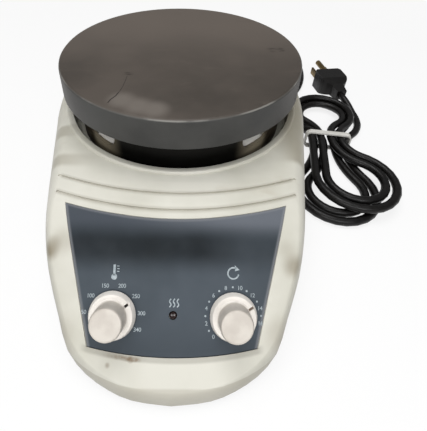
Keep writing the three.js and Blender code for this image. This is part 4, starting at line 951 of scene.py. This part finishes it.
def add_line(sketch, points, width):
    """A thin line of even width through (x, y) points."""
    left, right = [], []
    for i, (x, y) in enumerate(points):
        before = points[max(0, i - 1)]
        after = points[min(len(points) - 1, i + 1)]
        along = Vector((after[0] - before[0], after[1] - before[1])).normalized()
        left.append((x - along.y * width / 2, y + along.x * width / 2))
        right.append((x + along.y * width / 2, y - along.x * width / 2))
    for i in range(len(points) - 1):
        add_plate(sketch, [left[i], left[i + 1], right[i + 1], right[i]])


def arc_points(x, y, radius, steps, start=0.0, sweep=math.tau):
    """Points about (x, y) in even steps, from a start angle through a sweep."""
    turns = [start + sweep * i / steps for i in range(steps + 1)]
    return [(x + radius * math.cos(a), y + radius * math.sin(a)) for a in turns]


def add_dot(sketch, x, y, radius, sides=16):
    add_plate(sketch, arc_points(x, y, radius, sides)[:-1])


print("panel slopes at", round(math.degrees(PANEL_TILT), 1), "degrees")

# %% [markdown]
# Numbers are text curves turned into meshes. The heat dial has seven figures, and the stirring dial has even
# figures with dots between them. Angles run clockwise from straight up the slope.

# %% Dial figures
FIGURE_SIZE = 2.35
FIGURE_BOLDNESS = 0.02
FIGURE_SPACING = 0.92
HEAT_FIGURES = {"50": -86, "100": -52, "150": -17.5, "200": 17, "250": 52, "300": 87, "340": 119}
HEAT_RING = 12.1
SPEED_FIRST = -135
SPEED_STEP = 14.9
SPEED_MARKS = 17
SPEED_RING = 11.7
DOT_RADIUS = 0.42


def add_text(sketch, words, x, y):
    """Adds a short text, centred on (x, y), as thin closed letters."""
    font = bpy.data.curves.new("figure", "FONT")
    font.body = words
    font.size = FIGURE_SIZE
    font.align_x = "CENTER"
    font.align_y = "CENTER"
    font.extrude = PRINT_THICKNESS / 2
    font.offset = FIGURE_BOLDNESS
    font.space_character = FIGURE_SPACING
    font.resolution_u = 4
    holder = show("figure", font)
    bpy.context.view_layer.update()
    letters = bpy.data.meshes.new_from_object(holder.evaluated_get(bpy.context.evaluated_depsgraph_get()))
    letters.transform(Matrix.Translation((x, y, PRINT_LIFT + PRINT_THICKNESS / 2)))
    sketch.from_mesh(letters)
    bpy.data.objects.remove(holder)
    bpy.data.curves.remove(font)
    bpy.data.meshes.remove(letters)


def on_ring(control, angle, radius):
    """Place on a control's dial at a clockwise angle from the top."""
    turn = math.radians(angle)
    return KNOB_X[control] + radius * math.sin(turn), radius * math.cos(turn)


def printed_piece(name, sketch):
    """Carries a sketch to the panel as a piece of the stirrer."""
    piece = link_mesh(name, sketch)
    piece.data.transform(to_panel)
    give_finish(piece, pale_ink)
    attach(piece, "stirrer")


pale_ink = even_finish("pale grey ink", (150, 162, 168), (182, 192, 197), (0.5, 0.62), drift=900, grain=4000)
heat_dial = bmesh.new()
for words, angle in HEAT_FIGURES.items():
    add_text(heat_dial, words, *on_ring("temp", angle, HEAT_RING))
speed_dial = bmesh.new()
for mark in range(SPEED_MARKS):
    place = on_ring("speed", SPEED_FIRST + mark * SPEED_STEP, SPEED_RING)
    if mark % 2:
        add_dot(speed_dial, *place, DOT_RADIUS)
    else:
        add_text(speed_dial, str(mark), *place)
printed_piece("heat_dial_print", heat_dial)
printed_piece("speed_dial_print", speed_dial)
print("heat figures:", len(HEAT_FIGURES), "stirring marks:", SPEED_MARKS)

# %% [markdown]
# Over the lamp stands the usual heat sign, three wavy lines. The dials get plain signs: a thermometer for
# heat and a round arrow for stirring.

# %% Signs
WAVE_FOOT = 3.3
WAVE_PLACES = (-1.6, 0, 1.6)
WAVE_STEPS = 12
WAVE_STEP = (0.06, 0.28)
WAVE_SWING = 0.5
SIGN_WIDTH = 0.5
SIGN_Y = 17.4
BULB = (-2.1, 1.25)
TUBE = (-1.6, 2.9)
TICKS = (0.1, 1.2, 2.3)
TICK_ENDS = (1.1, 2.1)
ARROW_RADIUS = 2.3
ARROW_TURN = (math.radians(60), math.radians(290))
ARROW_HEAD = [(1.5, -0.6), (-0.5, 1.3), (-0.4, -1.1)]
signs = bmesh.new()
for place in WAVE_PLACES:
    wave = [(place + i * WAVE_STEP[0] + WAVE_SWING * math.sin(i / WAVE_STEPS * math.tau),
             WAVE_FOOT + i * WAVE_STEP[1]) for i in range(WAVE_STEPS + 1)]
    add_line(signs, wave, SIGN_WIDTH)
middle = KNOB_X["temp"]
add_dot(signs, middle, SIGN_Y + BULB[0], BULB[1], 24)
add_line(signs, [(middle, SIGN_Y + rise) for rise in TUBE], 1.0)
for rise in TICKS:
    add_line(signs, [(middle + aside, SIGN_Y + rise) for aside in TICK_ENDS], 0.35)
arrow = arc_points(KNOB_X["speed"], SIGN_Y, ARROW_RADIUS, 28, *ARROW_TURN)
add_line(signs, arrow, 0.6)
add_plate(signs, [(arrow[0][0] + x, arrow[0][1] + y) for x, y in ARROW_HEAD])
printed_piece("panel_signs", signs)
print("signs drawn over the lamp and both dials")

# %% [markdown]
# Each knob has a small mark in the edge of its skirt, dark on the heat knob and faded on the other. It is a
# wedge that fills the knob's notch, and it rides on the control, so it turns with it.

# %% Knob marks
MARK_REST = {"temp": math.radians(-53), "speed": math.radians(-59)}
MARK_PLACE = {"temp": 7.7, "speed": 8.1}
MARK_LENGTH = {"temp": 1.5, "speed": 2.1}
MARK_WIDTH = 0.9
MARK_DEPTH = 0.5
MARK_HEIGHT = 3.5
MARK_ROUNDING = 0.12
dark_paint = even_finish("dark pointer paint", (26, 20, 18), (44, 34, 30), (0.5, 0.65), drift=900)
faded_paint = even_finish("faded pointer paint", (104, 88, 72), (132, 114, 96), (0.5, 0.65), drift=900)
for control, x in KNOB_X.items():
    sketch = bmesh.new()
    bmesh.ops.create_cube(sketch, size=1)
    bmesh.ops.scale(sketch, vec=(MARK_WIDTH, MARK_LENGTH[control], MARK_DEPTH), verts=sketch.verts)
    bmesh.ops.bevel(sketch, geom=sketch.edges, offset=MARK_ROUNDING, segments=2, profile=0.5,
                    affect="EDGES")
    bmesh.ops.translate(sketch, vec=(0, MARK_PLACE[control], MARK_HEIGHT), verts=sketch.verts)
    mark = link_mesh(control + "_knob_mark", sketch)
    turn = Matrix.Rotation(MARK_REST[control], 4, "Z")
    mark.data.transform(to_panel @ Matrix.Translation((x, 0, 0)) @ turn)
    give_finish(mark, dark_paint if control == "temp" else faded_paint)
    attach(mark, control + "_control")
print("marks at", [round(math.degrees(a)) for a in MARK_REST.values()], "degrees")

# %% [markdown]
# A fine scratch crosses the plate's top near its left front. It is a thin dark line on the coat.

# %% Plate scratch
SCRATCH = [
    (-31.7, -44.7), (-31.0, -42.2), (-30.2, -40.7), (-29.2, -39.0), (-28.3, -36.1),
    (-27.5, -32.8), (-27.0, -29.1), (-26.7, -24.8), (-26.5, -20.4),
]
SCRATCH_THINS = 4
scratch = bmesh.new()
add_line(scratch, SCRATCH[:SCRATCH_THINS + 1], 0.5)
add_line(scratch, SCRATCH[SCRATCH_THINS:], 0.22)
plate_scratch = link_mesh("plate_scratch", scratch)
plate_scratch.data.transform(Matrix.Scale(MM, 4) @ Matrix.Translation((0, 0, PLATE_TOP - PRINT_LIFT)))
give_finish(plate_scratch, dark_paint)
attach(plate_scratch, "stirrer")
print("scratch points:", len(SCRATCH))

# %% [markdown]
# On the back, the rocker switch carries the usual line and circle.

# %% Rocker marks
ROCKER_PLACE = Vector((-20, 135, 18))
ROCKER_TILT = math.radians(9)
ROCKER_HALF = 7.4
ROCKER_RISE = 2.4
ROCKER_LIFT = 0.7
LINE_MARK = [(0, 3.2), (0, 5.4)]
RING_MARK = (0, -4.3, 1.15)
rocker_marks = bmesh.new()
add_line(rocker_marks, LINE_MARK, 0.5)
add_line(rocker_marks, arc_points(*RING_MARK, 24), 0.4)
marks = link_mesh("rocker_marks", rocker_marks)
marks.data.transform(Matrix.Rotation(math.pi / 2, 4, "X") @ Matrix.Rotation(math.pi, 4, "Y"))
for vertex in marks.data.vertices:
    vertex.co.y += ROCKER_LIFT + (abs(vertex.co.z) / ROCKER_HALF) ** 2 * ROCKER_RISE
marks.data.transform(Matrix.Scale(MM, 4) @ Matrix.Translation(ROCKER_PLACE)
                     @ Matrix.Rotation(ROCKER_TILT, 4, "X"))
give_finish(marks, FINISHES["tie_plastic"])
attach(marks, "switch_rocker")
print("rocker marks sit", round(max(v.co.y for v in marks.data.vertices) / MM, 1), "mm back")

# %% [markdown]
# ## Light and floor
# The light is plain and soft: an even pale sky, one broad ceiling lamp, and two weak front lamps low enough
# to shine in under the plate through the drum's windows. The floor is pale, and camera rays see it nearly
# white, while it still takes the object's shadow. Further off it fades to plain white, so that no edge shows.

# %% Floor
FLOOR_HALF = 3.0
FLOOR_DROP = 0.0002
FLOOR_GREY = (0.5, 0.5, 0.5, 1)
FLOOR_WHITE = (0.96, 0.96, 0.96, 1)
GLOW_REACH = (0.35, 0.95)
GLOW_SHARE = (0.8, 1.0)
floor_mesh = bpy.data.meshes.new("floor")
corners = [(x * FLOOR_HALF, y * FLOOR_HALF, 0) for x, y in ((-1, -1), (1, -1), (1, 1), (-1, 1))]
floor_mesh.from_pydata(corners, [], [(0, 1, 2, 3)])
floor = show("floor", floor_mesh)
floor.location.z = -FLOOR_DROP
floor_paint = bpy.data.materials.new("pale floor")
paint = NodeTree(floor_paint)
paint.nodes.clear()
matte = paint.nodes.new("ShaderNodeBsdfDiffuse")
paint.join(paint.blend(paint.rays("ADD", "Camera"), FLOOR_GREY, FLOOR_WHITE), matte.inputs["Color"])
glow = paint.nodes.new("ShaderNodeEmission")
glow.inputs["Color"].default_value = (1, 1, 1, 1)
reach = paint.vector_maths("LENGTH", paint.nodes.new("ShaderNodeTexCoord").outputs["Object"])
share = paint.times(paint.rays("ADD", "Camera", "Glossy", "Transmission"),
                    paint.remap(reach, *GLOW_REACH, *GLOW_SHARE, "LINEAR"))
share.node.use_clamp = True
both = paint.nodes.new("ShaderNodeMixShader")
surface = paint.nodes.new("ShaderNodeOutputMaterial")
for source, target in zip((share, matte.outputs[0], glow.outputs[0]), both.inputs):
    paint.join(source, target)
paint.join(both.outputs[0], surface.inputs["Surface"])
floor_mesh.materials.append(floor_paint)
print("floor", 2 * FLOOR_HALF, "m square")

# %% World and lamps
SKY_LIGHT = 0.26
LAMP_AIM = Vector((0, 0, 0.04))
LAMPS = [
    ("ceiling lamp", (-0.1, 0.1, 1.1), 6.1, 0.7),
    ("front left lamp", (-0.2, -0.6, 0.46), 1.3, 0.24),
    ("front right lamp", (0.2, -0.6, 0.46), 1.3, 0.24),
]
world = bpy.data.worlds.new("studio")
bpy.context.scene.world = world
air = NodeTree(world)
sky = air.nodes["Background"]
sky.inputs["Color"].default_value = (1, 1, 1, 1)
air.join(air.remap(air.rays("MAXIMUM", "Camera", "Transmission"), 0, 1, SKY_LIGHT, 1.0, "LINEAR"),
         sky.inputs["Strength"])
for name, spot, power, size in LAMPS:
    light = bpy.data.lights.new(name, "AREA")
    light.energy = power
    light.size = size
    lamp = show(name, light)
    lamp.location = spot
    lamp.rotation_euler = (LAMP_AIM - Vector(spot)).to_track_quat("-Z", "Y").to_euler()
bpy.context.scene.view_settings.view_transform = "Standard"
print("lamps:", len(LAMPS))
